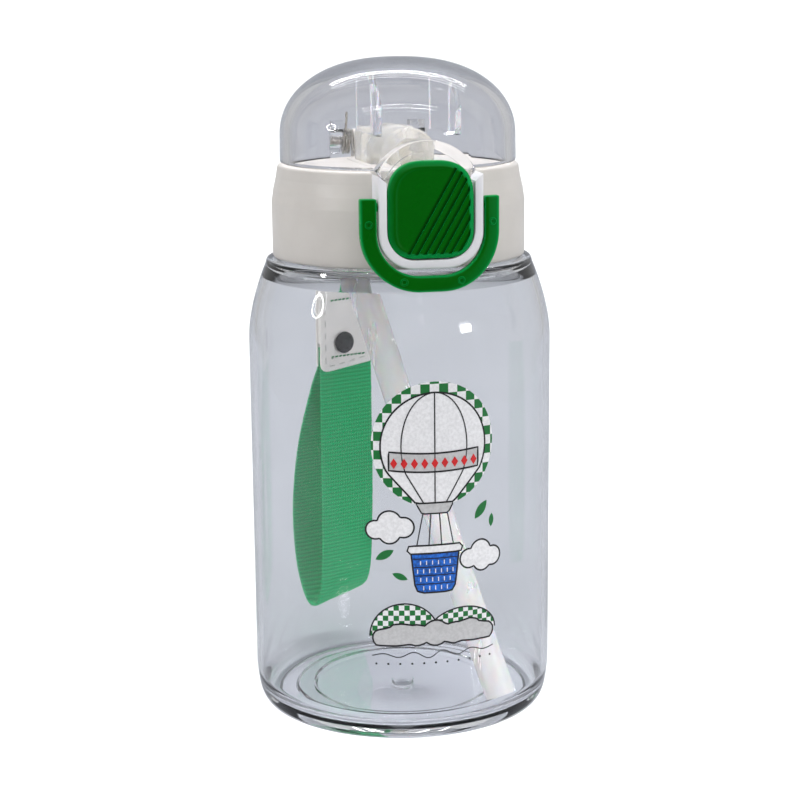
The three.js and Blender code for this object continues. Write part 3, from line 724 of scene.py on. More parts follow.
def leatherette(name, colour):
    """Coated cloth with small pebbled cells."""
    shade = Shade(name)
    cells = shade.add("ShaderNodeTexVoronoi", feature="DISTANCE_TO_EDGE")
    cells.inputs["Scale"].default_value = 1100
    shade.link(shade.place, cells.inputs["Vector"])
    shade.tinted(shade.noise(120, 4), colour, 0.06)
    shade.roughness(shade.noise(400, 3), 0.42, 0.6)
    shade.bump(shade.range(cells.outputs["Distance"], 0, 1, 0, 0.1), 0.00004, 0.5)
    shade.bump(shade.noise(60, 3), 0.0002, 0.4)
    return shade.material


def printed_ink(name, colour, spread=0.08):
    """Screen-printed ink with a fine halftone unevenness."""
    shade = Shade(name)
    shade.tinted(shade.noise(1400, 3), colour, spread, 0.35, 0.65)
    shade.roughness(shade.noise(500, 2), 0.34, 0.46)
    shade.bump(shade.noise(900, 2), 0.00001, 0.4)
    return shade.material


def make_materials():
    white = {"roughness": 0.36, "scatter": 0.15}
    # The green's edge colour is lighter than the green itself: a painted highlight along its rims.
    green = {"roughness": 0.3, "grain": 700, "gloss": 0.05, "edge": (0.0008, 0.27, 0.055)}
    recipes = {
        "clear_body": (clear_plastic, (0.975, 0.978, 0.985), {"index": 1.38}),
        "clear_dome": (clear_plastic, (0.95, 0.95, 0.965), {"roughness": 0.012, "index": 1.45, "wave": 0.03}),
        "rib_plastic": (clear_plastic, (0.97, 0.97, 0.98), {"index": 1.03}),
        # Milky rods in the next plastic paint bright lines along the dome ribs' edges: painted highlights
        # where the clear ribs catch light at their edges.
        "rib_edge": (straw_plastic, (0.93, 0.93, 0.95), {}),
        "white_plastic": (moulded_plastic, (0.62, 0.592, 0.56), white),
        # The next white is the lid's white painted lighter: painted light that lifts the shade inside the
        # closed cap.
        "inner_white": (moulded_plastic, (0.88, 0.88, 0.87), white),
        "white_bezel": (moulded_plastic, (0.78, 0.775, 0.81), {"roughness": 0.34, "scatter": 0.15}),
        "green_plastic": (moulded_plastic, (0.0003, 0.105, 0.0022), green),
        "silicone": (silicone_rubber, (0.97, 0.965, 0.93), {}),
        "straw_tube": (straw_plastic, (0.93, 0.935, 0.93), {}),
        "spring_steel": (steel, (0.5, 0.48, 0.45), {"roughness": 0.25}),
        "snap_metal": (steel, (0.055, 0.055, 0.058), {"roughness": 0.3, "direction": (200, 200, 200)}),
        "strap_leatherette": (leatherette, (0.76, 0.74, 0.71), {}),
        "green_webbing": (webbing, (0.008, 0.36, 0.12), {"along": 300, "across": 420}),
        "thread": (webbing, (0.01, 0.22, 0.07), {"along": 3000, "across": 3000}),
        "pale_thread": (webbing, (0.62, 0.61, 0.58), {"along": 3000, "across": 3000}),
        "print_white": (printed_ink, (0.80, 0.80, 0.82), {}),
        "print_grey": (printed_ink, (0.52, 0.52, 0.53), {}),
        "print_green": (printed_ink, (0.004, 0.16, 0.03), {}),
        "print_black": (printed_ink, (0.008, 0.008, 0.010), {}),
        "print_red": (printed_ink, (0.62, 0.012, 0.015), {}),
        "print_blue": (printed_ink, (0.006, 0.11, 0.50), {"spread": 0.45}),
    }
    return {name: make(name, colour, **look) for name, (make, colour, look) in recipes.items()}


def finish_piece(obj, body, slot, materials, nodes=(), material=None):
    """Gives the piece its material, ties it to its body and hides the CAD nodes it stands in for."""
    obj.data.materials.clear()
    obj.data.materials.append(materials[material or slot])
    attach(obj, body)
    if nodes:
        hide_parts(*nodes)
    return obj


# ---------------------------------------------------------------- vessel
def shoulder_radius(z):
    t = (z - SHOULDER_Z) / (LEDGE_Z - SHOULDER_Z)
    return BODY_R - 5.2 * max(t, 0.0) ** 1.7


def bezier(p0, p1, p2, p3, steps):
    curve = geometry.interpolate_bezier(Vector(p0).to_3d(), Vector(p1).to_3d(),
                                        Vector(p2).to_3d(), Vector(p3).to_3d(), steps + 1)
    return [p.to_2d() for p in curve]


def thread_reach(radius, z, angle):
    """How far the thread stands out of the neck at this place."""
    best = 0.0
    for start in range(THREAD_STARTS):
        turn = (angle / (2 * math.pi) - start / THREAD_STARTS) % 1.0
        for whole in (0, 1):
            wound = turn + whole
            if wound > THREAD_TURNS:
                continue
            middle = THREAD_Z + wound * THREAD_LEAD
            away = abs(z - middle)
            fade = min(1.0, wound / 0.03, (THREAD_TURNS - wound) / 0.03)
            flank = (THREAD_WIDTH / 2 - away) / (THREAD_WIDTH / 4)
            best = max(best, THREAD_HEIGHT * min(1.0, max(0.0, flank)) * max(fade, 0.0))
    return radius + best


def vessel_profile():
    inner = BODY_R - WALL
    outside = rounded([
        (0, 0), (2.2, 0, 0.3), (2.7, 0.8, 0.3), (22.4, 0.8, 0.4), (23.2, 1.3, 0.4), (27.0, 1.3, 0.4),
        (27.8, 0.8, 0.4), (31.6, 0.8, 0.5), (32.4, 0, 0.4), (34.2, 0),
    ], closed=False)
    outside += bezier((34.2, 0), (36.9, 0.1), (37.5, 3.2), (BODY_R, 9.5), 14)[1:]
    outside += [Vector((BODY_R, z)) for z in (20, 35, 50, 65, 80, SHOULDER_Z)]
    rise = LEDGE_Z - 1.6 - SHOULDER_Z
    outside += [Vector((shoulder_radius(SHOULDER_Z + rise * i / 20), SHOULDER_Z + rise * i / 20))
                for i in range(1, 21)]
    lip = outside[-1]
    outside += rounded([
        tuple(lip), (lip.x - 0.45, LEDGE_Z, 0.9), (NECK_R, LEDGE_Z, 0.5), (NECK_R, LEDGE_Z + 1.2),
    ], closed=False)[1:]
    neck_rings = 44
    outside += [Vector((NECK_R, LEDGE_Z + 1.2 + (NECK_TOP - 2 - LEDGE_Z) * i / neck_rings))
                for i in range(1, neck_rings + 1)]
    top = rounded([
        tuple(outside[-1]), (NECK_R, NECK_TOP, 0.5), (NECK_BORE_R, NECK_TOP, 0.5),
        (NECK_BORE_R, 113.6, 0.8), (30.4, 113.3, 1.4), (shoulder_radius(110) - WALL, 110, 0.8),
        (shoulder_radius(106) - WALL, 106),
    ], closed=False)[1:]
    inside = [Vector((shoulder_radius(z) - WALL, z)) for z in range(105, int(SHOULDER_Z), -1)]
    inside += [Vector((inner, z)) for z in (SHOULDER_Z, 80, 65, 50, 35, 20, 11)]
    corner = 5.2
    inside += arc(inner - corner, FLOOR + corner, corner, 0, -90, 14)
    floor = rounded([
        tuple(inside[-1]), (27.6, FLOOR, 0.4), (27.2, FLOOR + 0.35, 0.4), (23.2, FLOOR + 0.35, 0.4),
        (22.7, FLOOR, 0.4), (3.0, FLOOR, 0.6), (2.4, FLOOR + 0.3, 0.6), (0, FLOOR + 0.3),
    ], closed=False)[1:]
    return outside + top + inside + floor


def make_vessel(materials):
    neck = (LEDGE_Z + 1.2, NECK_TOP - 0.6)

    def warp(r, z, angle):
        if abs(r - NECK_R) < 1e-3 and neck[0] < z < neck[1]:
            return thread_reach(r, z, angle)
        return r

    body = turned("vessel", vessel_profile(), warp=warp, sharp=40)
    finish_piece(body, "bottle", "clear_body", materials, ["bottle_body"])


# ---------------------------------------------------------------- lid
def hinge_knuckle(low, high):
    side = [(28, COLLAR_TOP - 4), (31.2, COLLAR_TOP - 5), (HINGE_Y + KNUCKLE_R, HINGE_Z - 1)]
    side += arc(HINGE_Y, HINGE_Z, KNUCKLE_R, 0, 180, 20)
    side += [(HINGE_Y - KNUCKLE_R, COLLAR_TOP - 1)]
    return plate("knuckle", side, low, high, sideways, 0.35, 0.35)


def bar_post(low, high):
    side = [(29.2, BAR_Z - 2.6), (BAR_Y, BAR_Z - 2.2)]
    side += arc(BAR_Y, BAR_Z, 2.2, -90, 90, 20)
    side += [(29.2, BAR_Z + 2.6)]
    return plate("post", side, low, high, sideways, 0.3, 0.3)


def make_collar(materials):
    profile = rounded([
        (COLLAR_BORE_R, COLLAR_BOTTOM, 0.3), (COLLAR_R, COLLAR_BOTTOM, 0.6), (COLLAR_R, 129, 3),
        (31.05, 132, 3), (30.35, 135, 3), (29.9, COLLAR_TOP, 0.8), (RIM_BORE_R, COLLAR_TOP, 0.3),
        (RIM_BORE_R, RIM_STEP_Z, 0.2), (COLLAR_BORE_R, RIM_STEP_Z, 0.2),
    ])
    shell = turned("collar_shell", profile)
    pocket = plate("pocket", cup(BEZEL_HALF - 0.3, 116.8, COLLAR_TOP + 2, 8.2), -34, -24, facing)
    combine(shell, "DIFFERENCE", pocket)
    adds = [hinge_knuckle(HINGE_LEFT, HINGE_RIGHT)]
    adds += [bar_post(-POST_OUT, -BAR_HALF), bar_post(BAR_HALF, POST_OUT)]
    adds += [rod("bar", BAR_R, -BAR_HALF - 1, BAR_HALF + 1, sideways, (BAR_Y, BAR_Z), 32)]
    combine(shell, "UNION", *adds)
    pin_hole = rod("pin_hole", PIN_R + 0.1, -EAR_OUT - 1, EAR_OUT + 1, sideways, (HINGE_Y, HINGE_Z), 32)
    combine(shell, "DIFFERENCE", pin_hole)
    finish_piece(shell, "lid", "white_plastic", materials, ["collar"])


def make_deck(materials):
    profile = rounded([
        (0, DECK_BOTTOM), (24.5, DECK_BOTTOM, 0.2), (24.5, CAP_TOP + 0.3, 0.2), (26.2, CAP_TOP + 0.3, 0.2),
        (26.2, DECK_BOTTOM, 0.1), (DECK_R, DECK_BOTTOM, 0.1), (DECK_R, DECK_TOP - 0.1, 0.4),
        (25.6, DECK_TOP, 0.3), (24.9, DECK_TOP - 0.25, 0.3), (0, DECK_TOP - 0.25),
    ], closed=False)
    deck = turned("deck", profile)
    half = TROUGH_HALF + TROUGH_WALL
    well = block("well", (-half, TROUGH_FRONT - TROUGH_WALL, TROUGH_FLOOR - TROUGH_WALL),
                 (half, TROUGH_BACK + TROUGH_WALL, DECK_TOP), 0.35)
    combine(deck, "UNION", well)
    trough = rounded([
        (-TROUGH_HALF, TROUGH_FRONT, 3), (TROUGH_HALF, TROUGH_FRONT, 3),
        (TROUGH_HALF, TROUGH_BACK, 3), (-TROUGH_HALF, TROUGH_BACK, 3),
    ])
    cavity = plate("cavity", trough, TROUGH_FLOOR, DECK_TOP + 2, upright, 0.8)
    duct = rod("duct", 5.2, TROUGH_FLOOR - 4, TROUGH_FLOOR + 1, upright, (0, SPOUT_Y), 48)
    hook_gap = block("hook_gap", (-6, -28, CAP_TOP), (6, -22, DECK_BOTTOM))
    air = rod("air", 1.2, DECK_BOTTOM - 1, DECK_TOP + 1, upright, VALVE, 32)
    combine(deck, "DIFFERENCE", cavity, duct, hook_gap, air)
    finish_piece(deck, "lid", "white_plastic", materials, ["top_plate"])


def make_spout(materials):
    """One soft moulding: a lying tube with a rolled lip and the block it grows from."""
    tube_profile = rounded([
        (SPOUT_BORE_R, SPOUT_MOUTH, 1.0), (SPOUT_R, SPOUT_MOUTH, 1.2), (SPOUT_R, SPOUT_MOUTH + 2.2, 0.5),
        (SPOUT_R - 0.5, SPOUT_MOUTH + 2.8, 0.5), (SPOUT_R - 0.5, SPOUT_Y - 3, 0.6),
        (SPOUT_R, SPOUT_Y - 2, 0.6), (SPOUT_R, SPOUT_Y + 9, 0.4), (SPOUT_BORE_R, SPOUT_Y + 9, 0.1),
    ])
    turn = [2 * math.pi * k / 64 for k in range(64)]
    rings = [[(r * math.cos(a), y, SPOUT_Z + r * math.sin(a)) for a in turn] for r, y in tube_profile]
    spout = skin("spout", rings, closed=True)
    face = rounded_box(7.3, TROUGH_FLOOR + 0.3, 146.8, 2.4, 8)
    seat = plate("seat", face, SPOUT_Y + SPOUT_R - 1.5, TROUGH_BACK - 0.4, facing, 1.2, 1.0)
    combine(spout, "UNION", seat)
    spout.data.materials.clear()
    spout.data.materials.append(materials["silicone"])
    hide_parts("mouthpiece", "mouthpiece_seat")
    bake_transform(spout)


def straw_path():
    corner = Vector((PORT[0], PORT[1], 110.5))
    high = Vector((PORT[0], PORT[1], 117.0))
    points = [STRAW_FOOT.lerp(STRAW_BEND, i / 10) for i in range(11)]
    for i in range(1, 11):
        t = i / 10
        points.append(STRAW_BEND * (1 - t) ** 2 + corner * 2 * t * (1 - t) + high * t ** 2)
    points.append(Vector((PORT[0], PORT[1], STRAW_TOP)))
    return evenly(points, 60)


def make_straw(materials):
    outer = swept("straw_outer", straw_path(), circle(STRAW_R, 48))
    path = straw_path()
    path[0] = path[0] + (path[0] - path[1]) * 0.5
    path[-1] = path[-1] + Vector((0, 0, 1))
    inner = swept("straw_inner", path, circle(STRAW_BORE_R, 48))
    combine(outer, "DIFFERENCE", inner)
    outer.name = "drinking_straw"
    finish_piece(outer, "lid", "straw_tube", materials, ["straw"])


# ---------------------------------------------------------------- dome
def dome_outer(steps):
    points = [Vector((DOME_R, DOME_BOTTOM)), Vector((DOME_R - 0.1, DOME_TURN))]
    for i in range(1, steps + 1):
        angle = math.pi / 2 * i / steps
        r = 0.0 if i == steps else (DOME_R - 0.1) * math.cos(angle) ** 0.86
        points.append(Vector((r, DOME_TURN + (DOME_TOP - DOME_TURN) * math.sin(angle) ** 0.95)))
    return points


def dome_inner(steps):
    scale = (DOME_R - DOME_WALL) / DOME_R
    rise = (DOME_TOP - DOME_TURN - DOME_WALL) / (DOME_TOP - DOME_TURN)
    lifted = []
    for p in dome_outer(steps):
        z = p.y if p.y <= DOME_TURN else DOME_TURN + (p.y - DOME_TURN) * rise
        lifted.append(Vector((p.x * scale, z)))
    return lifted


def tab_outline():
    half = math.sqrt(TAB_R ** 2 - (DOME_BOTTOM - TAB_Z) ** 2)
    start = math.degrees(math.atan2(DOME_BOTTOM - TAB_Z, half))
    lower = [(-11.6, DOME_BOTTOM), (-10.3, TAB_LOW_Z), (10.3, TAB_LOW_Z), (11.6, DOME_BOTTOM)]
    return arc(0, TAB_Z, TAB_R, start, 180 - start, 40) + [Vector(p) for p in lower]


def make_dome(materials):
    steps = 40
    outer, inner = dome_outer(steps), dome_inner(steps)
    foot = rounded([
        tuple(inner[0]), (inner[0].x, DOME_BOTTOM, 0.0), (DOME_R, DOME_BOTTOM, 0.9), tuple(outer[1]),
    ], closed=False)[1:-1]
    shell = turned("dome", foot + outer[1:] + list(reversed(inner[1:])), sharp=40)
    inside = turned("inside", [Vector((0, 130)), Vector((inner[0].x, 130))] + inner, sharp=40)
    tab = plate("tab", tab_outline(), TAB_FRONT, -24, facing, 0.35, 0)
    dish = plate("dish", arc(0, TAB_Z, TAB_R - TAB_RIM, 0, 358, 90), TAB_FRONT - 1, TAB_FRONT + 1.5, facing)
    under = block("under", (-20, -28.2, 120), (20, -20, DOME_BOTTOM))
    combine(tab, "DIFFERENCE", dish, inside, under)
    tongue = block("tongue", (-TONGUE_HALF, -31.5, TONGUE_BOTTOM), (TONGUE_HALF, -30.4, 138), 0.3)
    combine(shell, "UNION", tab, tongue, sharp=40)
    notch = block("notch", (-NOTCH_HALF, 18, DOME_BOTTOM - 2), (NOTCH_HALF, 40, 145.8), 0.8)
    combine(shell, "DIFFERENCE", notch, sharp=40)
    for low, high in ((-EAR_OUT, -EAR_IN), (EAR_IN, EAR_OUT)):
        ear = rod("ear", KNUCKLE_R, low, high, sideways, (HINGE_Y, HINGE_Z), 48, 0.3)
        web = block("web", (low, 24.4, HINGE_Z + 0.2), (high, HINGE_Y, 148))
        core = turned("core", [Vector((0, 130)), Vector((inner[0].x, 130))] + dome_inner(steps))
        combine(web, "DIFFERENCE", core)
        combine(shell, "UNION", ear, web, sharp=40)
    bore = rod("bore", PIN_R + 0.1, -EAR_OUT - 1, EAR_OUT + 1, sideways, (HINGE_Y, HINGE_Z), 32)
    combine(shell, "DIFFERENCE", bore, sharp=40)
    finish_piece(shell, "dome", "clear_dome", materials, ["dome_cover"])

    ribs, edges = [], []
    for x in (-RIB_X, RIB_X):
        half = RIB_THICK / 2
        rib = block("rib", (x - half, RIB_FRONT, RIB_BOTTOM), (x + half, RIB_BACK, 163.2), 0.25)
        shrunk = [Vector((max(p.x - 0.05, 0), p.y - 0.05)) for p in dome_inner(steps)]
        core = turned("core", [Vector((0, 140)), Vector((shrunk[0].x, 140))] + shrunk[1:])
        combine(rib, "INTERSECT", core)
        ribs.append(rib)
        # Thin milky rods along each rib's front and back edges: painted highlight lines.
        for y in (RIB_FRONT, RIB_BACK):
            y = max(y, RIB_FRONT + 7.5)
            reach = math.hypot(x, y)
            roof = max(p.y for p in shrunk if p.x > reach)
            line = [Vector((x, y, z)) for z in (RIB_BOTTOM + 0.3, RIB_BOTTOM + 3, roof - 3, roof - 0.6)]
            edges.append(swept("rib_edge", line, circle(0.34, 12)))
    finish_piece(join("dome_ribs", ribs), "dome", "clear_dome", materials, material="rib_plastic")
    finish_piece(join("rib_painted_glints", edges), "dome", "clear_dome", materials, material="rib_edge")


def make_springs(materials):
    coil_r, turns, pitch, first = 2.9, 3, 0.72, -6.6
    last = first - pitch * turns
    points = [Vector((-3.8, 26.6, 139.4)), Vector((-5.6, 26.6, 139.4)), Vector((-6.45, 26.7, 139.9))]
    steps = 24 * turns
    for i in range(steps + 1):
        angle = math.pi + i / steps * turns * 2 * math.pi
        points.append(Vector((first - pitch * turns * i / steps,
                              HINGE_Y + coil_r * math.cos(angle), HINGE_Z - coil_r * math.sin(angle))))
    points += [Vector((last, 26.6, 144)), Vector((last, 24, 146.2)), Vector((last, 22.8, 150.5))]
    wire = swept("lid_spring", spline(points, 260), circle(0.32, 12))
    finish_piece(wire, "lid", "spring_steel", materials, ["torsion_spring"])


# ---------------------------------------------------------------- button, bezel, bail
def make_button(materials):
    high = BUTTON_BOTTOM + BUTTON_HEIGHT
    face = rounded([
        (-BUTTON_HALF, BUTTON_BOTTOM, BUTTON_LOW_R), (BUTTON_HALF, BUTTON_BOTTOM, BUTTON_LOW_R),
        (BUTTON_HALF, high, BUTTON_TOP_R), (-BUTTON_HALF, high, BUTTON_TOP_R),
    ], steps=20)
    for p in face:
        if p.y > high - BUTTON_TOP_R:
            p.y += BUTTON_ARCH * (1 - (p.x / BUTTON_HALF) ** 2)
    rim = [(1.3, 0.0), (1.05, 0.08), (0.85, 0.24), (0.18, 1.12), (0.04, 1.36), (0.02, 1.55),
           (0.14, 1.8), (0.14, 2.6)]
    rings = [[(p.x, BUTTON_BACK, p.y) for p in inset(face, 0.0)]]
    rings += [[(p.x, BUTTON_FRONT + y, p.y) for p in inset(face, shrink)] for y, shrink in rim]
    middle = BUTTON_BOTTOM + BUTTON_HEIGHT / 2
    rings += [[(p.x * 0.5, BUTTON_FRONT + 0.04, middle + (p.y - middle) * 0.5) for p in face]]
    button = skin("button", rings)
    c, d = math.cos(GROOVE_SLANT), math.sin(GROOVE_SLANT)
    wide, reach = GROOVE_WIDTH / 2, 14
    groove = [(-wide, -reach), (wide, -reach), (wide, reach), (-wide, reach)]
    field = inset(face, 1.0)
    for i in range(GROOVE_COUNT):
        x = GROOVE_FIRST_X + GROOVE_PITCH * i
        slanted = [(x + a * c + b * d, middle - a * d + b * c) for a, b in groove]
        cutter = plate("groove", slanted, BUTTON_FRONT - 1, BUTTON_FRONT + 0.75, facing)
        limit = plate("limit", field, BUTTON_FRONT - 2, BUTTON_FRONT + 2, facing)
        combine(cutter, "INTERSECT", limit)
        combine(button, "DIFFERENCE", cutter)
    around = cup(BUTTON_HALF - 0.5, BUTTON_BOTTOM + 0.5, 129, 6.1)
    skirt = plate("skirt", around, BUTTON_BACK - 0.5, -32.2, facing)
    hollow = plate("hollow", cup(BUTTON_HALF - 1.6, BUTTON_BOTTOM + 1.6, 131, 5), BUTTON_BACK, -31, facing)
    combine(skirt, "DIFFERENCE", hollow)
    stud = rod("stud", 1.4, BUTTON_BACK - 0.5, -32.4, facing, (0, BUTTON_SPRING_Z), 32)
    combine(button, "UNION", skirt, stud)
    finish_piece(button, "button", "green_plastic", materials, ["push_button"])


def make_bezel(materials):
    face = cup(BEZEL_HALF, BEZEL_BOTTOM, BEZEL_TOP, 8.5)
    rim = plate("bezel", face, BEZEL_FRONT, -26, facing, 0.5, 0)
    reach = COLLAR_R + 0.05
    around = turned("around", [Vector(p) for p in ((0, 100), (reach, 100), (reach, 150), (0, 150))])
    combine(rim, "DIFFERENCE", around)
    face = cup(SLEEVE_HALF, SLEEVE_BOTTOM, BEZEL_TOP, 7.9)
    sleeve = plate("sleeve", face, -33, SLEEVE_BACK, facing)
    combine(rim, "UNION", sleeve)
    face = cup(BUTTON_HALF + GAP, BUTTON_BOTTOM - GAP, 142, 6.9)
    opening = plate("opening", face, -40, SLEEVE_FLOOR, facing)
    passage = block("passage", (-11, -30.3, CAP_TOP), (11, -28, 142))
    combine(rim, "DIFFERENCE", opening, passage)
    for side in (-1, 1):
        wedge = [(10 * side, RIM_STEP_Z), (12.6 * side, 138), (12.6 * side, 141), (10 * side, 141)]
        combine(rim, "DIFFERENCE", plate("wedge", wedge, -40, -20, facing))
    soften(rim, 0.22)
    finish_piece(rim, "lid", "white_bezel", materials, ["button_bezel"])


def soften(obj, width, angle=50):
    """Rounds the sharp edges that a cut has left."""
    step = obj.modifiers.new("soften", "BEVEL")
    step.width = width * MM
    step.segments = 2
    step.limit_method = "ANGLE"
    step.angle_limit = math.radians(angle)
    step.use_clamp_overlap = True
    bake_modifiers(obj)
    smooth(obj)
    return obj


def make_bail(materials):
    radius = (13.6 + 10.2) / 2
    half = (BAIL_OUT + BAIL_IN) / 2
    bottom = BAIL_BOTTOM + 1.9
    outline = cup(half, bottom, BAIL_TOP, radius, 24)
    middle_y = BAIL_FRONT + BAIL_DEPTH / 2
    path = [Vector((p.x, middle_y, p.y)) for p in evenly(outline, 120)]
    marks = [path[round(place * 120)] for place in (0.096, 0.384, 0.616, 0.904)]
    tip = 0.45
    step = (path[1] - path[0]).length
    ends = [path[0].lerp(path[1], k * tip / 5 / step) for k in range(5)]
    path = ends + path[1:-1] + [Vector((-p.x, p.y, p.z)) for p in reversed(ends)]
    wide, deep = (BAIL_OUT - BAIL_IN) / 2, BAIL_DEPTH / 2
    section = rounded([(-wide, -deep, 0.3), (wide, -deep, 0.3), (wide, deep, 0.95), (-wide, deep, 0.95)])
    sections = []
    for k in range(len(path)):
        reach = min(k, len(path) - 1 - k) * tip / 5
        shrink = tip - math.sqrt(max(0, tip ** 2 - (tip - reach) ** 2)) if reach < tip else 0
        sections.append([(a * (1 - shrink / wide), b * (1 - shrink / deep)) for a, b in section])
    bar = swept("bail", path, lambda t: sections[round(t * (len(path) - 1))], up=(0, -1, 0))
    rings = []
    for here in marks:
        loop = [here + Vector((0.7 * math.cos(a), -deep, 0.7 * math.sin(a)))
                for a in (2 * math.pi * k / 24 for k in range(24))]
        rings.append(swept("mark", loop, circle(0.24, 8), closed=True))
    combine(bar, "UNION", *rings)
    pegs = [rod("peg", 1.0, a, b, sideways, (BAIL_Y, BAIL_Z), 32, 0.15)
            for a, b in ((-BAIL_IN - 1.2, -11.3), (11.3, BAIL_IN + 1.2))]
    for v in bar.data.vertices:
        v.co.y += v.co.x ** 2 / (2 * BAIL_BOW_R * MM)
    combine(bar, "UNION", *pegs)
    finish_piece(bar, "bail", "green_plastic", materials, ["lock_bail"])


# ---------------------------------------------------------------- strap
def hang(obj):
    """Turns a piece drawn in the strap's own frame into place."""
    place = Matrix.Translation((STRAP_X * MM, STRAP_Y * MM, 0)) @ Matrix.Rotation(STRAP_TWIST, 4, "Z")
    obj.data.transform(place)
    return obj


def web_centre():
    return [(0, y, z) for y, z in (
        (-0.34, 85), (-0.36, 80), (-0.4, 60), (-0.2, 36), (1.2, 18.5), (5.0, 12.6), (10.2, 13.8), (15.2, 23),
        (16.8, 38), (12.6, 56), (5.2, 72), (0.9, 79.6), (0.34, 82), (0.34, 85),
    )]


def make_strap(materials):
    path = spline(web_centre(), 160)
    half, thick = STRAP_WIDTH / 2, WEB_THICK / 2
    columns = 28
    rings = []
    for i, here in enumerate(path):
        ring = []
        along = (path[min(i + 1, len(path) - 1)] - path[max(i - 1, 0)]).normalized()
        out = Vector((1, 0, 0)).cross(along)
        slack = min(1.0, max(0.0, (82.0 - here.z) / 6.0))
        for side in (1, -1):
            order = range(columns + 1) if side == 1 else range(columns, -1, -1)
            for k in order:
                u = -1 + 2 * k / columns
                fray = 0.12 * noise.noise(Vector((u * 3, i * 0.9, 5))) if abs(u) == 1 else 0
                wave = 0.10 * noise.noise(Vector((u * 1.5, i * 0.07, 1))) * slack
                edge = 0.55 if abs(u) == 1 else (0.9 if abs(u) > 0.92 else 1.0)
                edge *= 0.45 + 0.55 * slack
                spot = here + Vector((u * half + fray, 0, 0)) + out * (side * thick * edge + wave)
                share = min(1.0, max(0.0, (HANG_FROM_Z - spot.z) / HANG_DEPTH))
                ring.append(spot + Vector((-LEAN * spot.y, 0, SAG * share * spot.x)))
        rings.append(ring)
    strip = hang(skin("wrist_webbing", rings, sharp=60))
    finish_piece(strip, "strap", "green_webbing", materials, ["strap_webbing"])

    half = STRAP_WIDTH / 2 + 0.3
    face = rounded([
        (half, LEAF_BOTTOM + LEAF_SLANT, 1.2), (half, LEAF_TOP, 0.8), (-half, LEAF_TOP, 0.8),
        (-half, LEAF_BOTTOM, 2.6),
    ])
    leaves = []
    for low, high in ((-LEAF_HALF, -0.62), (0.62, LEAF_HALF)):
        leaves.append(plate("leaf", face, low, high, facing, 0.3, 0.3))
    side, top = half - 0.3, LEAF_TOP - 0.3
    core = [(side, 86.0), (side, top), (-side, top), (-side, 86.0)]
    leaves.append(plate("leaf_core", core, -0.66, 0.66, facing))
    tab = leaves[0]
    combine(tab, "UNION", *leaves[1:])
    hole = rod("hole", 1.1, -3, 3, facing, (SNAP_X, SNAP_Z), 32)
    combine(tab, "DIFFERENCE", hole)
    tab.name = "tab_leaves"
    hang(tab)
    finish_piece(tab, "strap", "strap_leatherette", materials, ["strap_tab"])

    stitches = []
    seam = inset(face if area_of(face) > 0 else list(reversed(face)), 1.5)
    line = evenly(list(seam) + [seam[0]], 44)
    for a, b in zip(line[::2], line[1::2]):
        for y in (-1.62, 1.62):
            run = [Vector((a.x, y, a.y)).lerp(Vector((b.x, y, b.y)), t) for t in (0, 0.2, 0.5, 0.8, 1)]
            lift = (-0.05, 0.1, 0.14, 0.1, -0.05)
            run = [p + Vector((0, math.copysign(h, y), 0)) for p, h in zip(run, lift)]
            stitches.append(swept("stitch", run, circle(0.17, 8)))
    thread = hang(join("tab_stitches", stitches))
    finish_piece(thread, "strap", "green_webbing", materials, material="pale_thread")
    rows = []
    for z in (LEAF_TOP - 4.2, LEAF_BOTTOM + 4.0):
        for k in range(9):
            x = -half + 3.4 + k * 1.25
            for y in (-1.62, 1.62):
                crest = Vector((x + 0.4, y + math.copysign(0.1, y), z + 0.05))
                run = [Vector((x, y, z)), crest, Vector((x + 0.8, y, z + 0.1))]
                rows.append(swept("dash", run, circle(0.2, 8)))
    finish_piece(hang(join("tab_bar_tacks", rows)), "strap", "green_webbing", materials, material="thread")

    for name, node, y, way in (("snap_button", "snap_cap", -1.95, -1), ("snap_back", "snap_socket", 1.95, 1)):
        profile = rounded([
            (0, -1.4), (0.7, -1.4, 0.1), (0.7, 0, 0.1), (SNAP_R, 0, 0.3), (SNAP_R, 0.45, 0.3),
            (SNAP_R - 0.55, 0.85, 0.3), (SNAP_R - 1.25, 0.8, 0.3), (SNAP_R - 1.6, 0.6, 0.3), (0, 0.6),
        ], closed=False)
        snap = turned(name, profile, 64)
        snap.data.transform(Matrix.Translation((SNAP_X * MM, y * MM, SNAP_Z * MM))
                            @ Matrix.Rotation(math.pi / 2 * -way, 4, "X"))
        hang(snap)
        finish_piece(snap, "strap", "snap_metal", materials, [node])

    top = Vector((BAR_Y, BAR_Z))
    low = Vector((STRAP_Y - 0.2, LEAF_TOP + GAP + 1.4))
    axis = low - top
    down = math.degrees(math.atan2(axis.y, axis.x))
    high_r, low_r = BAR_R + GAP + 0.5, 0.9
    spread = math.degrees(math.acos((high_r - low_r) / axis.length))
    loop = arc(top.x, top.y, high_r, down + spread, down - spread + 360, 40)
    loop += arc(low.x, low.y, low_r, down - spread, down + spread, 20)
    loop = evenly([Vector((0, p.x, p.y)) for p in loop] + [Vector((0, loop[0].x, loop[0].y))], 120)[:-1]
    section = rounded([(-TAPE_WIDTH / 2, -0.5, 0.3), (TAPE_WIDTH / 2, -0.5, 0.3),
                       (TAPE_WIDTH / 2, 0.5, 0.3), (-TAPE_WIDTH / 2, 0.5, 0.3)])
    tape = swept("bar_tape", [p + Vector((0.4 - BAR_HALF + TAPE_WIDTH / 2, 0, 0)) for p in loop],
                 [(b, a) for a, b in section], up=(1, 0, 0), closed=True)
    finish_piece(tape, "strap", "green_webbing", materials, ["strap_loop"])


# ---------------------------------------------------------------- print on the vessel
FILM = 0.03                       # ink thickness; each layer lies on the one below
OUTLINE_WIDTH = 0.42
STRIP = 1.0                       # flat widths that follow the vessel's curve


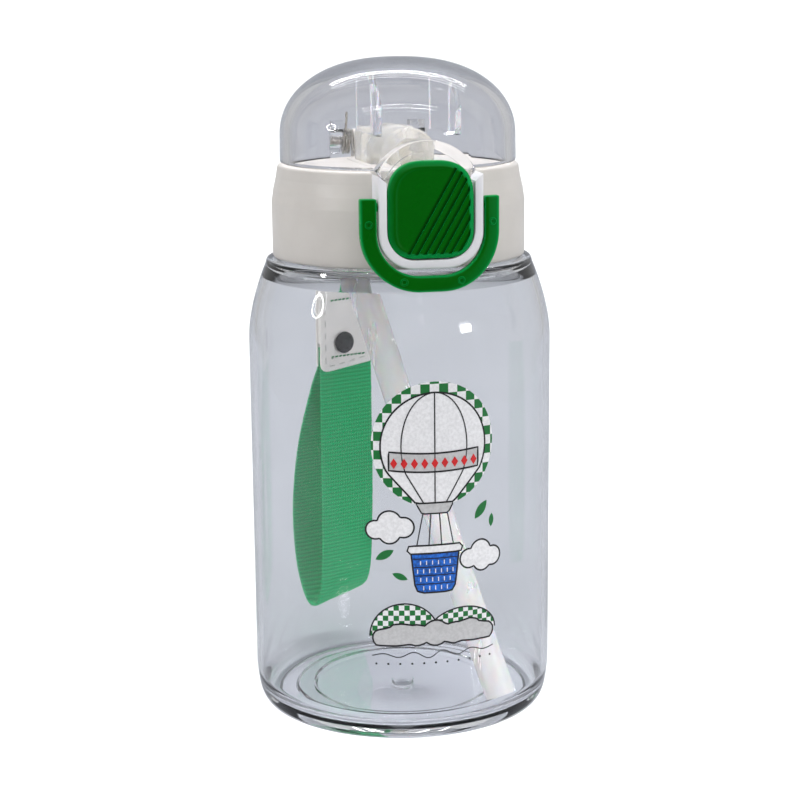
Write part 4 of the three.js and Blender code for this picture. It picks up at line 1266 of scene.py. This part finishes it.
class Ink:
    """Flat shapes in (across, height), printed on the vessel in one colour."""

    def __init__(self):
        self.mesh = bmesh.new()

    def fill(self, outline, layer):
        """A filled shape, cut into strips so that it can follow the curve."""
        patch = bmesh.new()
        patch.faces.new([patch.verts.new((p[0], 0, p[1])) for p in outline])
        low, high = min(p[0] for p in outline), max(p[0] for p in outline)
        for k in range(math.ceil(low / STRIP), math.floor(high / STRIP) + 1):
            everything = list(patch.verts) + list(patch.edges) + list(patch.faces)
            bmesh.ops.bisect_plane(patch, geom=everything, dist=1e-5, plane_co=(k * STRIP, 0, 0),
                                   plane_no=(1, 0, 0))
        self.press(patch, layer)

    def line(self, points, width, layer, closed=False):
        """A stroke of even width along evenly spaced points."""
        patch = bmesh.new()
        pairs = []
        count = len(points)
        for i, here in enumerate(points):
            before = points[i - 1] if (i or closed) else here
            after = points[(i + 1) % count] if (i < count - 1 or closed) else here
            along = (Vector(after) - Vector(before)).normalized()
            side = Vector((-along.y, along.x)) * width / 2
            pairs.append([patch.verts.new((q.x, 0, q.y)) for q in (Vector(here) - side, Vector(here) + side)])
        for i in range(count if closed else count - 1):
            a, b = pairs[i], pairs[(i + 1) % count]
            patch.faces.new((a[0], b[0], b[1], a[1]))
        self.press(patch, layer)

    def press(self, patch, layer):
        """Gives the flat shape its thickness and bends it round the vessel."""
        foot = BODY_R + 0.02 + FILM * layer
        bottom = list(patch.faces)
        raised = bmesh.ops.extrude_face_region(patch, geom=bottom, use_keep_orig=True)
        top = {v for v in raised["geom"] if isinstance(v, bmesh.types.BMVert)}
        for v in patch.verts:
            radius = foot + (FILM if v in top else 0)
            angle = v.co.x / BODY_R
            v.co = Vector((radius * math.sin(angle), -radius * math.cos(angle), v.co.z)) * MM
        bmesh.ops.recalc_face_normals(patch, faces=patch.faces)
        flat = bpy.data.meshes.new("flat")
        patch.to_mesh(flat)
        self.mesh.from_mesh(flat)
        bpy.data.meshes.remove(flat)
        patch.free()

    def finish(self, name, material):
        mesh = bpy.data.meshes.new(name)
        self.mesh.to_mesh(mesh)
        self.mesh.free()
        obj = new_object(name, mesh)
        obj.data.materials.append(material)
        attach(obj, "bottle")


def clipped(cell, outline):
    """The part of a convex cell inside a convex counter-clockwise outline."""
    shape = [Vector(p) for p in cell]
    for a, b in zip(outline, list(outline[1:]) + [outline[0]]):
        if not shape:
            return []
        edge = Vector(b) - Vector(a)
        inside = [edge.cross(p - Vector(a)) for p in shape]
        kept = []
        for i, p in enumerate(shape):
            j = i - 1
            if (inside[i] >= 0) != (inside[j] >= 0):
                t = inside[j] / (inside[j] - inside[i])
                kept.append(shape[j].lerp(p, t))
            if inside[i] >= 0:
                kept.append(p)
        shape = kept
    return shape if len(shape) > 2 and area_of(shape) > 0.02 else []


def leaf(x, z, length, width, tilt):
    """A pointed leaf, as an outline."""
    half = [(length * t, width * math.sin(math.pi * t) ** 0.8) for t in (k / 8 for k in range(9))]
    points = half + [(a, -b) for a, b in reversed(half[1:-1])]
    c, d = math.cos(tilt), math.sin(tilt)
    return [(x + a * c - b * d, z + a * d + b * c) for a, b in points]


def cloud(x, z, puffs):
    """A cloud outline made of round puffs (dx, dz, radius) around a middle point."""
    points = []
    for k in range(72):
        a = 2 * math.pi * k / 72
        ray = Vector((math.cos(a), math.sin(a)))
        reach = 0.0
        for dx, dz, r in puffs:
            centre = Vector((dx, dz))
            along = centre.dot(ray)
            away = centre.length_squared - along ** 2
            if away < r * r:
                reach = max(reach, along + math.sqrt(r * r - away))
        points.append((x + reach * ray.x, z + reach * ray.y))
    return points


def make_print(materials):
    white, grey, green, black, red, blue = (Ink() for _ in range(6))

    def drawn(shape, ink, layer, width=OUTLINE_WIDTH):
        ink.fill(shape, layer)
        edge = evenly([Vector(p) for p in shape] + [Vector(shape[0])], max(24, len(shape)))[:-1]
        black.line(edge, width, layer + 1, closed=True)

    def chequered(outline, x, z, size, rows, columns, layer):
        for row in rows:
            for column in columns:
                a, b = x + column * size, z + row * size
                piece = clipped([(a, b), (a + size, b), (a + size, b + size), (a, b + size)], outline)
                if piece:
                    (green if (row + column) % 2 else white).fill(piece, layer)

    # chequered halo behind the balloon
    middle_z, halo_r, check = 74.6, 15.2, 2.25
    halo = arc(0, middle_z, halo_r, 0, 350, 70)
    chequered(halo, -check / 2, middle_z - check / 2, check, range(-7, 8), range(-7, 8), 0)

    # balloon: round crown, drawn in to the mouth, with gores and a band
    crown = arc(0, 74.2, 13.0, -28, 208, 60)
    envelope = crown + [Vector((-4.6, 60.4)), Vector((4.6, 60.4))]
    drawn(envelope, white, 1)
    for share in (-0.62, 0.0, 0.62):
        turn = [math.pi * k / 24 for k in range(17)]
        gore = [(13.0 * share * math.sin(t), 74.2 + 13.0 * math.cos(t)) for t in turn]
        foot = (4.6 * share, 60.6)
        black.line(evenly([Vector(p) for p in gore] + [Vector(foot)], 34), 0.3, 3)
    low = [(x, 68.9 - 0.9 * math.cos(x * 0.11)) for x in range(-11, 12)]
    top = [(x, 73.4 - 0.9 * math.cos(x * 0.11)) for x in range(12, -13, -1)]
    drawn(low + top[1:-1], grey, 3)
    for k in range(-4, 5):
        x, z = 2.45 * k, 70.7 - 0.35 * math.cos(k * 0.27) - 0.25
        red.fill([(x - 0.85, z), (x, z - 1.3), (x + 0.85, z), (x, z + 1.3)], 5)
    skirt = [(-4.6, 60.4), (-3.2, 57.8), (3.2, 57.8), (4.6, 60.4)]
    drawn(skirt, grey, 3, 0.36)

    # ropes and a woven basket
    for x in (-1, -0.35, 0.35, 1):
        black.line(evenly([Vector((3.0 * x, 57.8)), Vector((4.6 * x, 49.4))], 12), 0.3, 3)
    basket = [(-6.0, 49.0), (-4.9, 39.2), (-3.9, 38.2), (3.9, 38.2), (4.9, 39.2), (6.0, 49.0)]
    drawn(basket, blue, 3)
    for row, z in enumerate((40.4, 42.5, 44.6, 46.7)):
        reach = 4.6 + (z - 39.2) * 0.11
        black.line(evenly([Vector((-reach, z)), Vector((reach, z))], 14), 0.22, 5)
        for k in range(-3, 4):
            x = (k + 0.5 * (row % 2)) * 1.45
            if abs(x) < reach - 0.5:
                white.line([Vector((x, z - 1.5)), Vector((x, z - 1.0)), Vector((x, z - 0.5))], 0.22, 5)
    rim = rounded([(-6.8, 48.0, 0.8), (6.8, 48.0, 0.8), (6.8, 50.0, 0.8), (-6.8, 50.0, 0.8)])
    drawn(rim, white, 5)

    # clouds at different heights, and leaves on the wind
    for x, z, puffs in (
        (-11.0, 54.6, [(-3.4, -0.6, 2.3), (0, 1.2, 2.9), (3.4, 0, 2.5), (0, -1.4, 2.6)]),
        (12.2, 46.0, [(-3.6, -0.2, 2.4), (-0.4, 1.3, 2.8), (3.0, -0.4, 2.4), (0, -1.2, 2.5)]),
    ):
        drawn(cloud(x, z, puffs), white, 1)
    for x, z, length, width, tilt in ((10.2, 55.4, 5.4, 1.1, 0.9), (-14.4, 46.6, 5.0, 1.0, 0.5),
                                      (-10.4, 43.2, 4.0, 0.8, -0.4), (14.8, 52.8, 3.4, 0.7, 1.5)):
        green.fill(leaf(x, z, length, width, tilt), 1)

    # chequered hills with a bank of cloud in front
    for x, z, half_width, height in ((-7.6, 27.4, 8.4, 8.2), (7.0, 27.4, 9.0, 6.4)):
        turn = [math.pi * k / 24 for k in range(25)]
        hill = [(x + half_width * math.cos(t), z + height * math.sin(t)) for t in turn]
        chequered(hill, x, z, 1.3, range(7), range(-8, 8), 0 if x < 0 else 1)
        black.line(evenly([Vector(p) for p in hill], 40), 0.36, 2)
    bank = cloud(0.0, 27.6, [(-13.0, -0.6, 2.4), (-9.0, 0.2, 2.9), (-4.6, 0, 2.7), (0.0, 0.4, 3.2),
                             (4.6, 0.0, 2.7), (9.0, 0.3, 2.9), (13.0, -0.6, 2.4)])
    drawn(bank, grey, 3)

    # wave below the picture
    wave = [Vector((x, 22.6 + 0.9 * math.sin(x * 0.85) * (1 - abs(x) / 22)))
            for x in (k / 4 for k in range(-62, 63))]
    black.line(wave, 0.26, 0)
    for k in range(-5, 6):
        black.fill(arc(k * 2.9, 20.4, 0.28, 0, 340, 12), 0)

    for name, ink in (("print_white", white), ("print_grey", grey), ("print_green", green),
                      ("print_black", black), ("print_red", red), ("print_blue", blue)):
        ink.finish(name, materials[name])


# ---------------------------------------------------------------- carried-over CAD nodes
def paint_cad_nodes(materials):
    slots = {entry["node"]: entry["material_slot"] for entry in frame["record"]["subparts"]}
    for name, node in frame["nodes"].items():
        if node.hide_render:
            continue
        node.data.materials.clear()
        # The inner lid and the straw adapter get the lighter white, painted light for the shaded inside of
        # the cap.
        inner = name in ("inner_lid", "straw_adapter")
        node.data.materials.append(materials["inner_white" if inner else slots[name]])


# ---------------------------------------------------------------- studio
def make_studio():
    world = bpy.data.worlds.new("studio")
    world.use_nodes = True
    background = world.node_tree.nodes["Background"]
    tree = world.node_tree
    direction = tree.nodes.new("ShaderNodeTexCoord")
    lean = tree.nodes.new("ShaderNodeVectorMath")
    lean.operation = "DOT_PRODUCT"
    lean.inputs[1].default_value = Matrix.Rotation(-VIEW_AZIMUTH, 4, "Z") @ Vector((0.25, 0.55, 0.8))
    ramp = tree.nodes.new("ShaderNodeValToRGB")
    for element, place, level in zip(ramp.color_ramp.elements, (0.0, 1.0), (0.33, 0.62)):
        element.position = place
        element.color = (level * 0.97, level * 0.98, level, 1)
    spread = tree.nodes.new("ShaderNodeMapRange")
    spread.inputs["From Min"].default_value = -0.9
    tree.links.new(direction.outputs["Generated"], lean.inputs[0])
    tree.links.new(lean.outputs["Value"], spread.inputs["Value"])
    tree.links.new(spread.outputs[0], ramp.inputs[0])
    tree.links.new(ramp.outputs[0], background.inputs[0])
    background.inputs[1].default_value = 1.0
    bpy.context.scene.world = world
    scene = bpy.context.scene
    scene.view_settings.view_transform = "Standard"
    scene.cycles.max_bounces = 24
    scene.cycles.diffuse_bounces = 8
    scene.cycles.transmission_bounces = 24
    scene.cycles.transparent_max_bounces = 24

    shade = Shade("floor_paper")
    mottle = shade.noise(8, 3)
    # Painted shade: the floor is pale to the camera but a darker lavender grey where it is seen in
    # reflections or through the clear plastic.
    path = shade.add("ShaderNodeLightPath")
    painted_shade_in_reflection_and_glass = shade.math("MAXIMUM", path.outputs["Is Transmission Ray"], path.outputs["Is Glossy Ray"])
    mix = shade.add("ShaderNodeMix", data_type="RGBA")
    shade.link(painted_shade_in_reflection_and_glass, mix.inputs["Factor"])
    shade.link(shade.ramp(mottle, [(0.3, (0.9, 0.9, 0.905)), (0.7, (0.92, 0.92, 0.925))]), mix.inputs[6])
    shade.link(shade.ramp(mottle, [(0.3, (0.375, 0.39, 0.425)), (0.7, (0.395, 0.41, 0.445))]), mix.inputs[7])
    shade.colour(mix.outputs[2])
    shade.set(Roughness=0.9)
    profile = [(-0.17, 0.0), (0.55, 0.0)]
    profile += [(0.55 + 0.5 * math.sin(a), 0.5 - 0.5 * math.cos(a))
                for a in (math.pi / 24 * k for k in range(1, 13))]
    profile += [(1.05, 2.6)]
    vertices, faces = [], []
    for y, z in profile:
        for x in (-0.42, 0.42):
            vertices.append(tuple(c / MM for c in VIEW_TURN @ Vector((x, y, z))))
    for i in range(len(profile) - 1):
        a = 2 * i
        faces.append((a, a + 1, a + 3, a + 2))
    sweep = build("floor", vertices, faces, 60)
    sweep.data.materials.append(shade.material)

    def photo_frame(x, y, z):
        return VIEW_TURN @ Vector((x, y, z))

    middle = (0, 0, 0.09)
    soft = [
        area_light("key", photo_frame(0.62, -0.30, 0.85), middle, (0.35, 0.35), 0.85),
        area_light("fill", photo_frame(-0.9, -0.5, 0.6), middle, (0.5, 0.7), 1.3, (1.0, 0.975, 0.94)),
        area_light("paper", photo_frame(0.0, 0.9, 1.3), (0, 0.45, 0), (1.6, 0.5), 15.0),
    ]
    for lamp in soft:
        lamp.visible_glossy = False
        lamp.visible_transmission = False
    for y, z in ((-0.34, 0.79), (-0.44, 0.79), (0.42, 0.75), (0.49, 0.75)):
        area_light("tube", photo_frame(0.02, y, z), middle, (0.84, 0.007), 0.9)
    area_light("window", photo_frame(0.62, -0.5, 0.25), middle, (0.12, 0.06), 0.95)
    ring_lamp(photo_frame(-0.72, -0.30, 0.36), middle)


def ring_lamp(place, target):
    """A small ring-shaped lamp, seen only as a reflection."""
    middle, aim = Vector(place), (Vector(target) - Vector(place)).normalized()
    side = aim.cross(Vector((0, 0, 1))).normalized()
    rise = side.cross(aim)
    loop = [(middle + 0.066 * (side * math.cos(a) + rise * math.sin(a))) / MM
            for a in (2 * math.pi * k / 64 for k in range(64))]
    lamp = swept("ring_lamp", loop, circle(7.0, 12), closed=True)
    shade = Shade("ring_lamp")
    shade.surface.inputs["Emission Color"].default_value = (1, 1, 1, 1)
    shade.set(Emission_Strength=48.0)
    lamp.data.materials.append(shade.material)


def main():
    make_camera()
    materials = make_materials()
    make_vessel(materials)
    make_collar(materials)
    make_deck(materials)
    make_spout(materials)
    make_straw(materials)
    make_dome(materials)
    make_springs(materials)
    make_button(materials)
    make_bezel(materials)
    make_bail(materials)
    make_strap(materials)
    make_print(materials)
    paint_cad_nodes(materials)
    make_studio()


main()
